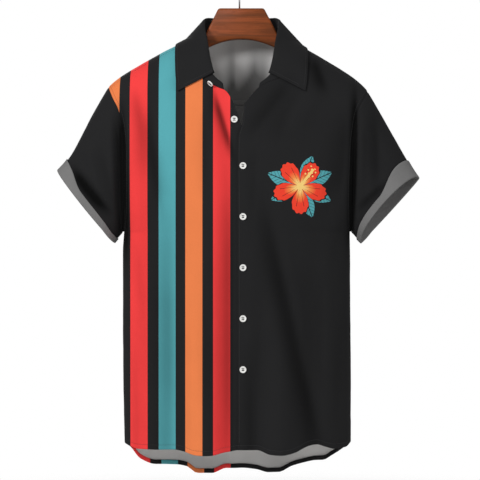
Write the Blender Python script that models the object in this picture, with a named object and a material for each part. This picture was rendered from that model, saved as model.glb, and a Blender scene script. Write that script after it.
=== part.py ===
"""A short-sleeved, button-front shirt hanging open-necked on a wooden hanger.

Frame: +X to the viewer's right, the shirt's front faces -Y, +Z is up.  The origin
is where the inside of the hook's top rests on a rail.  Sizes are in millimetres
and heights are written as "down", the distance below the origin.  Points become
metres when a mesh is made.

The body is one tube of cloth.  A place on it is given by
    angle: round the section, 0 at the middle and a right angle at the side seams,
    arc:   the distance along the cloth from the shoulder's ridge,
    side:  FRONT or BACK.
Every panel, seam and button is made from that one surface.
"""

import math

import bmesh
import bpy
import numpy as np
from mathutils import Vector

MM = 0.001
FRONT, BACK = -1.0, 1.0
LEFT, RIGHT = -1.0, 1.0

# ---------------------------------------------------------------- driving sizes
CLOTH = 1.6              # thickness of a cloth wall
HEM_FOLD = 2.9           # thickness where the hem is turned to the inside
HEM_HEIGHT = 8.0
SEAM_GAP = 0.3           # between pieces that meet at a seam
RIDGE_ROUND = 60.0       # height over which the cloth rounds over the shoulders
UNDERARM = 466.0         # down, where the armholes end and the side seams begin
ARMHOLE_WIDTH = 0.62     # half-width of an armhole as a share of the body's depth
FRONT_SEAM = 8.0         # the yoke's front seam, below the shoulder ridge
NECK_CENTRE = 3.5        # across, middle of neck, collar and hanger
NECK_SHOULDER = 198.0    # down, where the neckline turns from the side to the front
YOKE_SEAM = 238.0        # down, the seam across the back at its middle
YOKE_SEAM_DROP = 10.0    # and how much lower it is at the armholes
LAP_DEPTH = HEM_FOLD + 0.5 # how far the under front lies behind the upper one
BUTTON_ACROSS = 6.0
BUTTON_TOP, BUTTON_PITCH = 351.7, 87.6
BUTTON_RADIUS, BUTTON_THICK = 5.8, 2.4
WOOD_THICK = 12.0
HOOK_RADIUS, WIRE_RADIUS = 20.0, 1.4


class Table:
    """Rows under named columns; reads between rows along a smooth curve."""

    def __init__(self, columns, rows):
        self.names = columns.split()
        self.values = np.array(rows, float)

    def at(self, key, column):
        """Value of the column at key, with flat slopes at each local extreme."""
        keys = self.values[:, 0]
        heights = self.values[:, self.names.index(column)]
        widths = np.diff(keys)
        rises = np.diff(heights) / widths
        slopes = np.concatenate(([rises[0]], np.zeros(len(rises) - 1), [rises[-1]]))
        same_way = rises[:-1] * rises[1:] > 0
        before, after = rises[:-1][same_way], rises[1:][same_way]
        slopes[1:-1][same_way] = 2 * before * after / (before + after)
        key = np.clip(np.asarray(key, float), keys[0], keys[-1])
        row = np.clip(np.searchsorted(keys, key) - 1, 0, len(widths) - 1)
        t = (key - keys[row]) / widths[row]
        start = heights[row] * (1 + 2 * t) + slopes[row] * widths[row] * t
        end = heights[row + 1] * (3 - 2 * t) - slopes[row + 1] * widths[row] * (1 - t)
        return start * (1 - t) ** 2 + end * t ** 2


# Side edges of the body (the armhole seams above the underarm) and its depth.
BODY = Table("down left right front back", [
    (80, -262, 262, 38, 38),
    (124, -262, 262, 45, 43),
    (165, -256, 256, 53, 48),
    (190, -243, 240, 58, 53),
    (212, -230, 229, 62, 57),
    (232, -221, 218, 65, 60),
    (252, -211, 207, 68, 62),
    (284, -203, 199, 71, 65),
    (320, -200, 195, 73, 68),
    (400, -200, 193, 76, 71),
    (452, -202, 194, 78, 73),
    (500, -205, 194.5, 78, 74),
    (600, -205, 195, 76, 74),
    (720, -204.5, 196, 75, 75),
    (840, -202, 196, 74, 76),
    (910, -201, 195, 74, 76),
])

# The shoulder ridge, carried on over the open neck.
RIDGE = Table("across down", [
    (-262, 262), (-245, 233), (-234, 215), (-216, 198), (-189, 180), (-159, 163),
    (-133, 148.5), (-119, 141.5), (-64, 115), (3.5, 95), (69, 115), (113, 141),
    (126, 148.5), (150, 162.5), (179, 180), (205, 198), (223, 215), (233, 233), (256, 268),
])

# The front neckline of each front, from its side to the corner at the button edge.
NECKLINE_RIGHT = Table("across down", [
    (-66, 198), (-47, 211), (-35.5, 216.5), (-26.5, 219.5), (-19.5, 226), (-15, 234),
    (-12, 240),
])
NECKLINE_LEFT = Table("across down", [
    (8.4, 245), (11.4, 241), (23, 226.4), (30.6, 218), (42, 210), (55, 204.5), (73, 198),
])

# The front edge of each front: the undone V above, the buttoned lap below.
EDGES = Table("down under upper", [
    (237, -12.5, 9.5), (250, -7.5, 8), (277, 1.8, 5.2), (300, 11, -1.5),
    (335, 17, -3), (910, 18, -3),
])

# Hems, from side seam to side seam.
HEMS = Table("across front back", [
    (-205, 834, 834), (-193, 839, 846), (-177, 843, 868), (-150, 842.5, 880),
    (-113, 841, 881), (-96, 844, 885), (-76, 850, 899), (-50, 851, 899.5),
    (-22, 845, 889), (0, 841, 889), (30, 841.5, 892), (52, 849, 898), (72, 850.5, 897),
    (94, 847, 885), (120, 836, 876), (134, 833.5, 873), (150, 838, 872),
    (166, 842, 862), (186, 841, 846), (196, 834, 834),
])

# The largest folds of the hanging cloth: a ridge has a height above 0, a trough
# below 0.  Each starts at its top, grows to its full height and runs to its foot.
FOLD_COLUMNS = "side across_top across_foot top full foot width height"
FOLDS = [dict(zip(FOLD_COLUMNS.split(), row)) for row in (
    (FRONT, -160, -176, 190, 420, 930, 15, -7),
    (FRONT, -140, -138, 420, 700, 930, 20, 5),
    (FRONT, -48, -22, 215, 280, 360, 13, -4),
    (FRONT, -30, -31, 360, 620, 930, 17, -8),
    (FRONT, -84, -66, 420, 760, 930, 22, 8),
    (FRONT, 40, 31, 480, 760, 930, 14, -6),
    (FRONT, 80, 74, 430, 760, 930, 23, 9),
    (FRONT, 128, 122, 400, 700, 930, 17, -9),
    (FRONT, 160, 163, 450, 760, 930, 17, 6),
    (BACK, -150, -150, 430, 700, 940, 17, 6),
    (BACK, -112, -112, 330, 700, 940, 18, -9),
    (BACK, -66, -62, 300, 700, 940, 24, 10),
    (BACK, -12, -14, 360, 700, 940, 18, -8),
    (BACK, 58, 62, 300, 700, 940, 24, 9),
    (BACK, 116, 118, 330, 700, 940, 19, -9),
    (BACK, 156, 154, 430, 700, 940, 15, 5),
)]

# The collar on each side of its middle, by the share of the neckline from the
# back's middle to the front end: the roll line at the top of the stand, and the
# leaf's outer edge.  "out" is away from the collar's middle, "fore" is forwards.
COLLAR = Table("share roll_out roll_fore roll_down edge_out edge_fore edge_down", [
    (0.00, 0, -36, 89, 0, -52, 137),
    (0.15, 36, -33, 88.5, 48, -50, 136),
    (0.30, 57, -17, 90, 92, -32, 134),
    (0.42, 64.5, 0, 98, 112, -4, 140),
    (0.55, 64.5, 19, 114, 116, 20, 158),
    (0.70, 60.5, 38, 142, 115, 40, 184),
    (0.82, 55.5, 50, 171, 113, 52, 207),
    (0.90, 50, 55, 192, 110.5, 56, 222),
    (1.00, 32, 58.5, 209, 110.5, 56, 222),
])
LEAF_END = 0.9           # share of the neckline where the leaf's front edge starts

# The sleeve's mouth: where its top and foot are, its depth, how far its front is
# drawn back, how far the sleeve's top is out, and the cuff's height at its top.
SLEEVE_COLUMNS = ("top_across top_down foot_across foot_down depth_front depth_back "
                  "lean puff cuff")
SLEEVES = {
    LEFT: dict(zip(SLEEVE_COLUMNS.split(), (-319, 357, -218, 483, 44, 40, -3, -5.8, 25))),
    RIGHT: dict(zip(SLEEVE_COLUMNS.split(), (315, 371, 212, 484, 44, 44, 20, -1.5, 33))),
}

COLOURS = {                # base colour, roughness, metallic
    "black_cloth": ((0.022, 0.022, 0.024, 1), 0.85, 0.0),
    "striped_cloth": ((0.60, 0.06, 0.06, 1), 0.85, 0.0),
    "button": ((0.88, 0.88, 0.86, 1), 0.3, 0.0),
    "wood": ((0.30, 0.07, 0.025, 1), 0.4, 0.0),
    "metal": ((0.6, 0.6, 0.62, 1), 0.3, 1.0),
}


# ---------------------------------------------------------------- the body's surface
def smooth_step(value):
    value = np.clip(value, 0, 1)
    return value * value * (3 - 2 * value)


def edge_angle(down):
    """Angle round the section where a panel ends: a right angle at the side seams."""
    reach = np.clip((np.asarray(down, float) - 190) / (UNDERARM - 190), 0, 1)
    return np.arccos(ARMHOLE_WIDTH * np.sqrt(1 - reach ** 4))


def across(angle, down):
    """Where a place lies from left to right, by its angle round the section."""
    left, right = BODY.at(down, "left"), BODY.at(down, "right")
    return (left + right) / 2 + (right - left) / 2 * np.sin(angle) / np.sin(edge_angle(down))


def angle_at(place, down):
    """The angle whose place from left to right is given."""
    left, right = BODY.at(down, "left"), BODY.at(down, "right")
    reach = (2 * place - left - right) / (right - left)
    return np.arcsin(np.clip(reach * np.sin(edge_angle(down)), -1, 1))


def arc_to_drop(arc):
    """Height below the ridge of a place this far from it along the cloth."""
    turn = np.minimum(np.abs(arc) / RIDGE_ROUND, math.pi / 2)
    return RIDGE_ROUND * (1 - np.cos(turn)) + np.abs(arc) - turn * RIDGE_ROUND


def drop_to_arc(drop):
    """Distance along the cloth from the ridge to a place this far below it."""
    turn = np.arccos(np.clip(1 - drop / RIDGE_ROUND, 0, 1))
    return RIDGE_ROUND * turn + np.maximum(drop - RIDGE_ROUND, 0)


def fold_height(place, down, side):
    """How far the folds move the cloth out from the plain section."""
    total = np.zeros(np.broadcast(place, down, side).shape)
    for fold in FOLDS:
        run = (down - fold["top"]) / (fold["foot"] - fold["top"])
        centre = fold["across_top"] + (fold["across_foot"] - fold["across_top"]) * run
        growth = smooth_step((down - fold["top"]) / (fold["full"] - fold["top"]))
        fade = smooth_step((fold["foot"] - down) / 60)
        shape = np.exp(-((place - centre) / fold["width"]) ** 2)
        total = total + fold["height"] * growth * fade * shape * (side == fold["side"])
    return total


def body_depth(place, down, level, side):
    """How far the cloth stands out from the shoulder's plane; level is the angle's cosine."""
    depth = np.where(side == FRONT, BODY.at(down, "front"), BODY.at(down, "back"))
    return depth * level + fold_height(place, down, side) * level ** 2


def body_point(angle, arc, side):
    """Point of the outer surface this far along the cloth from the shoulder ridge."""
    angle, arc, side = np.broadcast_arrays(*(np.asarray(v, float) for v in (angle, arc, side)))
    side = np.where(arc < 0, -side, side)
    drop = arc_to_drop(arc)
    down = 150 + drop
    for _ in range(24):
        down = (down + RIDGE.at(across(angle, down), "down") + drop) / 2
    place = across(angle, down)
    turn = np.minimum(np.abs(arc) / RIDGE_ROUND, math.pi / 2)
    out = body_depth(place, down, np.cos(angle), side) * np.sin(turn)
    return np.stack([place, side * out, -down], axis=-1)


def body_arc(angle, down):
    """Distance along the cloth from the ridge to a height."""
    return drop_to_arc(np.maximum(down - RIDGE.at(across(angle, down), "down"), 0))


def unit(vectors):
    return vectors / np.linalg.norm(vectors, axis=-1, keepdims=True)


def body_normal(angle, arc, side):
    """Outward direction of the surface."""
    step = 0.006
    over = body_point(angle + step, arc, side) - body_point(angle - step, arc, side)
    along = body_point(angle, arc + 0.5, side) - body_point(angle, arc - 0.5, side)
    return unit(np.cross(over, along)) * side


# ---------------------------------------------------------------- making solids
def two_triangles(loop, points):
    """Split a four-sided loop along its shorter diagonal."""
    a, b, c, d = loop
    if np.linalg.norm(points[a] - points[c]) <= np.linalg.norm(points[b] - points[d]):
        return [(a, b, c), (a, c, d)]
    return [(a, b, d), (b, c, d)]


class Sheet:
    """Patches of cloth that share edges, given their thickness at the end."""

    def __init__(self):
        self.outer, self.inner, self.faces, self.index = [], [], [], {}

    def corner(self, outer, inner):
        key = tuple(np.round(outer, 3))
        if key not in self.index:
            self.index[key] = len(self.outer)
            self.outer.append(outer)
            self.inner.append(inner)
        return self.index[key]

    def patch(self, outer, inner):
        """Add a grid of outer points and the inner points behind them."""
        ids = np.array([[self.corner(o, i) for o, i in zip(*rows)] for rows in zip(outer, inner)])
        for r in range(ids.shape[0] - 1):
            for c in range(ids.shape[1] - 1):
                loop = [ids[r, c], ids[r, c + 1], ids[r + 1, c + 1], ids[r + 1, c]]
                self.faces += [t for t in two_triangles(loop, self.outer) if len(set(t)) == 3]

    def solid(self, name, colour):
        """Close the sheet with its back face and its edges."""
        count = len(self.outer)
        sides = {}
        for face in self.faces:
            for a, b in zip(face, face[1:] + face[:1]):
                sides[(a, b)] = True
        rim = [(a, b) for a, b in sides if (b, a) not in sides]
        faces = [tuple(face) for face in self.faces]
        faces += [tuple(count + i for i in reversed(face)) for face in self.faces]
        faces += [(b, a, count + a, count + b) for a, b in rim]
        return make_object(name, self.outer + self.inner, faces, colour)


def make_object(name, points, faces, colour):
    """A mesh object in metres, its faces pointing out, with its own material."""
    mesh = bpy.data.meshes.new(name)
    mesh.from_pydata([tuple(np.asarray(p) * MM) for p in points], [], faces)
    bm = bmesh.new()
    bm.from_mesh(mesh)
    bmesh.ops.recalc_face_normals(bm, faces=bm.faces)
    bm.to_mesh(mesh)
    bm.free()
    mesh.shade_smooth()
    mesh.set_sharp_from_angle(angle=math.radians(40))
    made = bpy.data.objects.new(name, mesh)
    bpy.context.scene.collection.objects.link(made)
    made.data.materials.append(material(name, colour))
    return made


def material(name, colour):
    base, roughness, metallic = COLOURS[colour]
    made = bpy.data.materials.new(name)
    made.use_nodes = True
    shader = made.node_tree.nodes["Principled BSDF"]
    shader.inputs["Base Color"].default_value = base
    shader.inputs["Roughness"].default_value = roughness
    shader.inputs["Metallic"].default_value = metallic
    made.diffuse_color = base
    return made


def mix(start, end, amount):
    return start + (end - start) * amount


# ---------------------------------------------------------------- panels of the body
NECK_SIDE = {LEFT: -66.0, RIGHT: 73.0}
STAND_START = {LEFT: 0.27, RIGHT: 0.38}    # column where each end of the collar starts
BACK_NECK_DROP = 27.0                      # of the back neckline below the ridge's line
CORNER_COLUMNS = (0, 0.06, 0.14, 0.27, 0.38, 0.56, 0.78, 1)
SHOULDER_COLUMNS = tuple(1 + np.linspace(0, 1, 10)[1:])
BACK_NECK_COLUMNS = tuple(np.linspace(-1, 1, 9)[1:-1])
CHEST_ROWS = 9
CHEST_LEVEL_DROP = 95.0                    # of the armhole's row below the neck's row
SEAM_ANGLE = 0.002                         # half a seam gap as an angle round the body


def column_angle(column, down, edge=None):
    """Angle round the section of a column at a height.

    Columns -1 and 1 run down from the sides of the neck and -2 and 2 are the side
    seams and armholes.  Column 0 is the middle of the back, or a front's own edge.
    """
    hand = np.where(column < 0, LEFT, RIGHT)
    neck = np.where(column < 0, NECK_SIDE[LEFT], NECK_SIDE[RIGHT])
    if edge is None:
        inner = mix(NECK_SIDE[LEFT], NECK_SIDE[RIGHT], (column + 1) / 2)
    else:
        inner = mix(EDGES.at(down, edge), neck, np.abs(column))
    outer = mix(angle_at(neck, down), hand * (edge_angle(down) - SEAM_ANGLE), np.abs(column) - 1)
    return np.where(np.abs(column) <= 1, angle_at(inner, down), outer)


def at_height(columns, downs, side, edge=None):
    """Angles and distances along the cloth of a grid of columns and heights."""
    columns, downs = np.broadcast_arrays(columns, downs)
    angles = column_angle(columns, downs, edge)
    return angles, body_arc(angles, downs), side


def at_arc(columns, arcs, side, edge=None):
    """The same for columns and distances along the cloth from the ridge."""
    columns, arcs = np.broadcast_arrays(columns, arcs)
    downs = np.full(columns.shape, 200.0)
    for _ in range(10):
        angles = column_angle(columns, downs, edge)
        downs = (downs - body_point(angles, arcs, side)[..., 2]) / 2
    return angles, arcs, side


def cloth(angles, arcs, side, inset=0.0, thick=CLOTH):
    """Outer points, inner points and outward directions of a grid of places."""
    normal = body_normal(angles, arcs, side)
    inset = np.broadcast_to(inset, angles.shape)[..., None]
    thick = np.broadcast_to(thick, angles.shape)[..., None]
    outer = body_point(angles, arcs, side) - normal * inset
    return outer, outer - normal * thick, normal


def rows_between(start, end, steps):
    """Heights from one row to another, one row of the grid for each step."""
    return mix(np.asarray(start), np.asarray(end), np.asarray(steps)[:, None])


def skirt_rows(hem, steps):
    """Heights from the hem up to the underarm, with the top of the turned hem."""
    rise = hem - UNDERARM
    low = hem - np.array([0, HEM_HEIGHT, HEM_HEIGHT + 1])[:, None]
    high = UNDERARM + rise * (1 - np.linspace(0.08, 1, steps)[:, None])
    thick = np.concatenate(([HEM_FOLD, HEM_FOLD], np.full(steps + 1, CLOTH)))
    return np.vstack([low, high]), thick[:, None]


def lap_inset(angles, arcs):
    """How far the under front drops back towards its edge, below the upper one."""
    place = body_point(angles, arcs, FRONT)[..., 0]
    return LAP_DEPTH * smooth_step((place + 42) / 24)


def front_panel(hand):
    """The skirt, chest and shoulder grids of a front."""
    edge, neckline = ("under", NECKLINE_RIGHT) if hand == LEFT else ("upper", NECKLINE_LEFT)
    columns = hand * np.concatenate((CORNER_COLUMNS, SHOULDER_COLUMNS))
    neck_count = len(CORNER_COLUMNS)
    places = across(column_angle(columns, np.full(columns.shape, 845.0), edge), 845.0)
    downs, thick = skirt_rows(HEMS.at(places, "front"), 10)
    corner = EDGES.at(237, edge)
    neck_places = mix(corner, NECK_SIDE[hand], np.abs(columns[:neck_count]))
    part = np.abs(columns[neck_count:]) - 1
    level = np.concatenate((neckline.at(neck_places, "down"),
                            NECK_SHOULDER + CHEST_LEVEL_DROP * part))
    chest = rows_between(np.full(columns.shape, UNDERARM), level,
                         np.linspace(0, 1, CHEST_ROWS) ** 1.3)
    skirt = at_height(columns, downs, FRONT, edge)
    chest = at_height(columns, chest, FRONT, edge)
    shoulder_columns = columns[neck_count - 1:]
    foot = chest[1][-1, neck_count - 1:]
    seam = drop_to_arc(FRONT_SEAM) + SEAM_GAP / 2
    arcs = rows_between(foot, np.full(foot.shape, seam), np.linspace(0, 1, 7))
    shoulder = at_arc(shoulder_columns, arcs, FRONT, edge)
    shoulder[0][0] = chest[0][-1, neck_count - 1:]
    grids = []
    for grid, thickness in ((skirt, thick), (chest, CLOTH), (shoulder, CLOTH)):
        inset = lap_inset(grid[0], grid[1]) if hand == LEFT else 0.0
        grids.append(cloth(*grid, inset, thickness))
    return grids


def back_columns():
    shoulder = np.array(SHOULDER_COLUMNS)
    return np.concatenate((-shoulder[::-1], [-1], BACK_NECK_COLUMNS, [1], shoulder))


def yoke_seam(columns):
    """Height of the seam between the yoke and the back under each column."""
    places = across(column_angle(columns, np.full(columns.shape, YOKE_SEAM)), YOKE_SEAM)
    return YOKE_SEAM + YOKE_SEAM_DROP * (places / 230) ** 2


def back_panel():
    columns = back_columns()
    places = across(column_angle(columns, np.full(columns.shape, 870.0)), 870.0)
    downs, thick = skirt_rows(HEMS.at(places, "back"), 10)
    chest = rows_between(np.full(columns.shape, UNDERARM), yoke_seam(columns) + SEAM_GAP / 2,
                         np.linspace(0, 1, CHEST_ROWS) ** 1.3)
    return [cloth(*at_height(columns, downs, BACK), 0.0, thick),
            cloth(*at_height(columns, chest, BACK))]


def yoke_panel():
    """The part in front of the ridge on each side, and the part behind it."""
    columns = back_columns()
    seam = -drop_to_arc(FRONT_SEAM) + SEAM_GAP / 2
    arcs = np.linspace(seam, 0, 5)[:, None]
    before = [at_arc(columns[columns <= -1], arcs, BACK), at_arc(columns[columns >= 1], arcs, BACK)]
    middle = np.clip(1 - columns ** 2, 0, 1) * BACK_NECK_DROP
    foot = at_height(columns, yoke_seam(columns) - SEAM_GAP / 2, BACK)[1]
    behind = at_arc(columns, rows_between(drop_to_arc(middle), foot, np.linspace(0, 1, 8)), BACK)
    return [cloth(*before[0]), cloth(*before[1]), cloth(*behind)]


def joined(points_of_runs):
    """One run of points from several that meet at seams, each seam's two made one."""
    run = points_of_runs[0]
    for other in points_of_runs[1:]:
        middle = (run[-1] + other[0]) / 2
        run = np.vstack([run[:-1], middle, other[1:]])
    return run


# ---------------------------------------------------------------- sleeves
ROOT_STEPS = (0.0, 0.008, 0.016)
SETTLED = 0.12             # step where the sleeve's own directions take over
WALL_STEPS = (0.0, 0.3, 0.6, 0.85)         # from there to the cuff's edge
UNDERARM_BEND = 1.0        # radius of the tight bend where the sleeve folds back down
BACK_BULGE = 4.5           # how far the back of the mouth bows outwards
SLIT_FOOT, CUFF_SLIT, RIM_ROUND = 0.975, 0.5, 0.8
CUFF_MIDDLE, CUFF_FOOT = 12.0, 9.0         # the cuff's height at mid-mouth and underarm


def away_from_panel(points, normals, reference):
    """Directions in the cloth, square to a closed or open edge, leaving the panel."""
    along = np.gradient(points, axis=0)
    away = unit(np.cross(along, normals))
    turn = np.sign(np.sum(away * reference, axis=1, keepdims=True))
    return away * turn


def sleeve(hand, front, back, yoke_before, yoke_behind):
    """Closed loft from the armhole's own points out to the turned-up mouth."""
    end = -1 if hand == RIGHT else 0
    runs = []
    for part in (0, 2):                       # outer points, then their directions
        up_front = [front[1][part][:, -1], front[2][part][:, -1][1:]]
        over = np.vstack([yoke_before[part][:, end], yoke_behind[part][:, end][1:]])
        down_back = back[1][part][:, end][::-1]
        runs.append(joined([np.vstack(up_front), over, down_back]))
    loop, normals = runs[0][:-1], unit(runs[1])[:-1]
    underarm = (loop[0] + runs[0][-1]) / 2
    loop = np.vstack([underarm, loop[1:]])
    downs = -loop[:, 2]
    reference = np.stack([np.full(len(loop), hand), np.zeros(len(loop)),
                          3 * smooth_step((downs - 400) / 40)], axis=1)
    closed = np.vstack([loop[-1:], loop, loop[:1]])
    closed_normals = np.vstack([normals[-1:], normals, normals[:1]])
    closed_reference = np.vstack([reference[-1:], reference, reference[:1]])
    away = away_from_panel(closed, closed_normals, closed_reference)[1:-1]
    root = loop + away * SEAM_GAP
    mouth, axis = sleeve_mouth(hand, root)
    form = (root, mouth, axis, SLEEVES[hand]["puff"])
    rings = []
    for steps, out in sleeve_profile(cuff_edge(hand, root, mouth)):
        rings.append(sleeve_ring(form, steps) + out * sleeve_normals(form, steps, normals))
    count = len(root)
    points = [point for ring in rings for point in ring]
    faces = []
    for r in range(len(rings)):
        below = (r + 1) % len(rings)
        for c in range(count):
            beside = (c + 1) % count
            loop = (r * count + c, r * count + beside, below * count + beside, below * count + c)
            faces += two_triangles(loop, points)
    return points, faces


def sleeve_mouth(hand, root):
    """Points of the mouth in step with the root's, and the sleeve's direction."""
    shape = SLEEVES[hand]
    top = np.array([shape["top_across"], 0, -shape["top_down"]])
    foot = np.array([shape["foot_across"], 0, -shape["foot_down"]])
    downs = -root[:, 2]
    share = (downs - downs.min()) / (downs.max() - downs.min())
    is_front = root[:, 1] < 0
    width = np.sqrt(np.clip(1 - (2 * share - 1) ** 2, 0, 1))
    axis = unit((top + foot) / 2 - root.mean(axis=0))
    depth = np.where(is_front, -shape["depth_front"], shape["depth_back"]) * width
    mouth = mix(top, foot, share[:, None])
    mouth[:, 1] += depth
    lean = np.where(is_front, shape["lean"], -BACK_BULGE) * width
    return mouth - lean[:, None] * axis, axis


def cuff_edge(hand, root, mouth):
    """Step along the sleeve, point by point, where the turned-up cuff ends."""
    downs = -mouth[:, 2]
    share = (downs - downs.min()) / np.ptp(downs)
    height = mix(SLEEVES[hand]["cuff"], CUFF_MIDDLE, smooth_step(share / 0.4))
    height = mix(height, CUFF_FOOT, smooth_step((share - 0.6) / 0.4))
    return 1 - height / np.linalg.norm(mouth - root, axis=1)


def sleeve_ring(form, steps):
    """Ring of the sleeve's outer face between the armhole (0) and the mouth (1)."""
    root, mouth, axis, puff = form
    ring = mix(root, mouth, steps[:, None])
    share = (ring[:, 2].max() - ring[:, 2]) / np.ptp(ring[:, 2])
    puff = puff * np.sin(math.pi * np.clip(steps, 0, 1) ** 2.5) * smooth_step(1 - 1.2 * share)
    out = ring - ring.mean(axis=0)
    out -= np.outer(out @ axis, axis)
    bend = math.pi * np.clip(steps / ROOT_STEPS[2], 0, 1)
    bend_share = smooth_step((share - 0.8) / 0.15)
    ring[:, 0] += np.sign(axis[0]) * UNDERARM_BEND * (1 - np.cos(bend)) * bend_share
    ring[:, 2] += UNDERARM_BEND * np.sin(bend) * bend_share
    return ring + puff[:, None] * unit(out)


def sleeve_normals(form, steps, root_normals):
    """Outward directions of a ring; the armhole's own at the root."""
    settled = np.maximum(steps, SETTLED)
    ring = sleeve_ring(form, settled)
    along = sleeve_ring(form, settled + 0.03) - sleeve_ring(form, settled - 0.03)
    around = np.roll(ring, -1, axis=0) - np.roll(ring, 1, axis=0)
    normals = unit(np.cross(around, along))
    centre = ring.mean(axis=0)
    normals *= np.sign(np.sum(normals * (ring - centre), axis=1, keepdims=True))
    blend = np.minimum(steps / ROOT_STEPS[2], 1)[:, None]
    return unit(mix(root_normals, normals, blend))


def sleeve_profile(edge):
    """Steps along the sleeve and distances out, round the wall and its turned hem."""
    root = [np.full(edge.shape, step) for step in ROOT_STEPS]
    wall = root + [mix(SETTLED, edge, step) for step in WALL_STEPS]
    foot, mouth = np.full(edge.shape, SLIT_FOOT), np.ones(edge.shape)
    band = [edge, (edge + foot) / 2, foot]
    out = CUFF_SLIT + CLOTH
    profile = [(steps, 0.0) for steps in wall + band]
    profile += [(steps, CUFF_SLIT) for steps in reversed(band)]
    profile += [(steps, out) for steps in band]
    profile += [(mouth, out - RIM_ROUND), (mouth, RIM_ROUND - CLOTH)]
    return profile + [(steps, -CLOTH) for steps in reversed(wall + band)]


# ---------------------------------------------------------------- collar
STAND_STEPS = (0.0, 0.12, 0.4, 0.7, 1.0)
ROLL_RADIUS = 2.9
ROLL_TURNS = (180, 140, 95, 50, 10)
LEAF_STEPS = (0.1, 0.22, 0.36, 0.52, 0.68, 0.84, 1.0)
LEAF_CLEAR = CLOTH + 1.7


def collar_point(share, line):
    """Point of the roll line or the leaf's edge; shares below 0 are to the left."""
    hand = np.where(share < 0, LEFT, RIGHT)
    size = np.abs(share)
    return np.stack([NECK_CENTRE + hand * COLLAR.at(size, line + "_out"),
                     -COLLAR.at(size, line + "_fore"), -COLLAR.at(size, line + "_down")], axis=-1)


def neckline(front_right, front_left, yoke_left, yoke_right, yoke_behind):
    """Points and directions along the neck from the left front end to the right."""
    stop = len(CORNER_COLUMNS)
    mid = slice(len(SHOULDER_COLUMNS), len(SHOULDER_COLUMNS) + len(BACK_NECK_COLUMNS) + 2)
    runs = []
    for part in (0, 2):
        rise = []
        for hand, front in ((LEFT, front_right), (RIGHT, front_left)):
            start = CORNER_COLUMNS.index(STAND_START[hand])
            rise.append(np.vstack([front[1][part][-1, start:stop], front[2][part][1:, 0]]))
        over_left = yoke_left[part][:, -1]
        over_right = yoke_right[part][:, 0]
        behind = yoke_behind[part][0, mid]
        middle = np.vstack([over_left[:-1], behind, over_right[::-1][1:]])
        runs.append(joined([rise[0], middle, rise[1][::-1]]))
    return runs[0], unit(runs[1])


def collar_stations(points, normals):
    """Shares of the neckline of the collar's stations, with the seam's points there.

    A share is 0 at the back's middle and -1 and 1 at the ends in front.
    """
    lengths = np.concatenate(([0], np.cumsum(np.linalg.norm(np.diff(points, axis=0), axis=1))))
    found = 2 * lengths / lengths[-1] - 1
    shares = np.sort(np.append(found, [-LEAF_END, LEAF_END]))
    seam = [np.stack([np.interp(shares, found, run[:, axis]) for axis in range(3)], axis=1)
            for run in (points, normals)]
    return shares, seam[0], unit(seam[1])


def roll_frame(shares, seam):
    """The roll line's points, and there the stand's rising and outward directions."""
    roll = collar_point(shares, "roll")
    ahead, behind = collar_point(shares + 0.01, "roll"), collar_point(shares - 0.01, "roll")
    along = unit(ahead - behind)
    rise = roll - seam
    rise = unit(rise - np.sum(rise * along, axis=1, keepdims=True) * along)
    out = unit(np.cross(along, rise))
    away = roll - np.array([NECK_CENTRE, -10.0, 0.0])
    away[:, 2] = 0
    return roll, rise, out * np.sign(np.sum(out * away, axis=1, keepdims=True))


def grid_normals(points, towards):
    """Directions square to a grid of points, on the side of the given directions."""
    normals = unit(np.cross(np.gradient(points, axis=1), np.gradient(points, axis=0)))
    return normals * np.sign(np.sum(normals * towards, axis=-1, keepdims=True))


def collar_stand(shares, seam, normals):
    """The band from the neck seam up to the roll line."""
    roll, rise, out = roll_frame(shares, seam)
    root = seam + SEAM_GAP * away_from_panel(seam, normals, rise)
    top = roll + CLOTH * out
    outer = np.array([mix(root, top, step) for step in STAND_STEPS])
    directions = grid_normals(outer, out)
    directions[0] = normals
    directions[-1] = out
    return outer, outer - CLOTH * directions


def clear_of_body(points, clearance):
    """Move points that lie within the clearance of the body straight out of it."""
    place, y, down = points[..., 0], points[..., 1], -points[..., 2]
    ridge = RIDGE.at(place, "down")
    side = np.where(y < 0, FRONT, BACK)
    depth = body_depth(place, down, np.cos(angle_at(place, down)), side)
    rise = np.maximum(RIDGE_ROUND - (down - ridge), 0)
    reach = np.hypot(y / depth, rise / RIDGE_ROUND)
    radius = np.hypot(y, rise) / reach
    scale = np.maximum((1 + clearance / radius) / reach, 1)
    moved_down = np.where(rise > 0, ridge + RIDGE_ROUND - rise * scale, down)
    return np.stack([place, y * scale, -moved_down], axis=-1)


def collar_leaf(shares, seam):
    """The leaf from its root over the roll and down to its outer edge."""
    covered = np.abs(shares) <= LEAF_END
    shares = shares[covered]
    roll, rise, out = roll_frame(shares, seam[covered])
    centre = roll + SEAM_GAP * rise + ROLL_RADIUS * out
    rows = []
    for turn in np.radians(ROLL_TURNS):
        rows.append(centre + ROLL_RADIUS * (math.cos(turn) * out + math.sin(turn) * rise))
    edge = collar_point(shares, "edge")
    for step in LEAF_STEPS:
        rows.append(clear_of_body(mix(rows[len(ROLL_TURNS) - 1], edge, step), LEAF_CLEAR))
    seen = np.array(rows)
    towards = [math.cos(turn) * out + math.sin(turn) * rise for turn in np.radians(ROLL_TURNS)]
    towards += [out + np.array([0, 0, 0.5])] * len(LEAF_STEPS)
    normals = grid_normals(seen, np.array(towards))
    normals[:len(ROLL_TURNS) - 1] = towards[:len(ROLL_TURNS) - 1]
    return seen, seen - CLOTH * normals


# ---------------------------------------------------------------- buttons
HOLE_RADIUS, HOLE_REACH = 0.8, 1.35
RIM_BEVEL = 0.5
STAND_BUTTON = (-49.5, 210.0)      # across and down, at the end of the collar stand
STAND_BUTTON_FACING = (-0.66, -0.32, -0.68)
UNDER_BUTTON = (-9.0, 271.3)       # on the under front, in the undone opening


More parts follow.
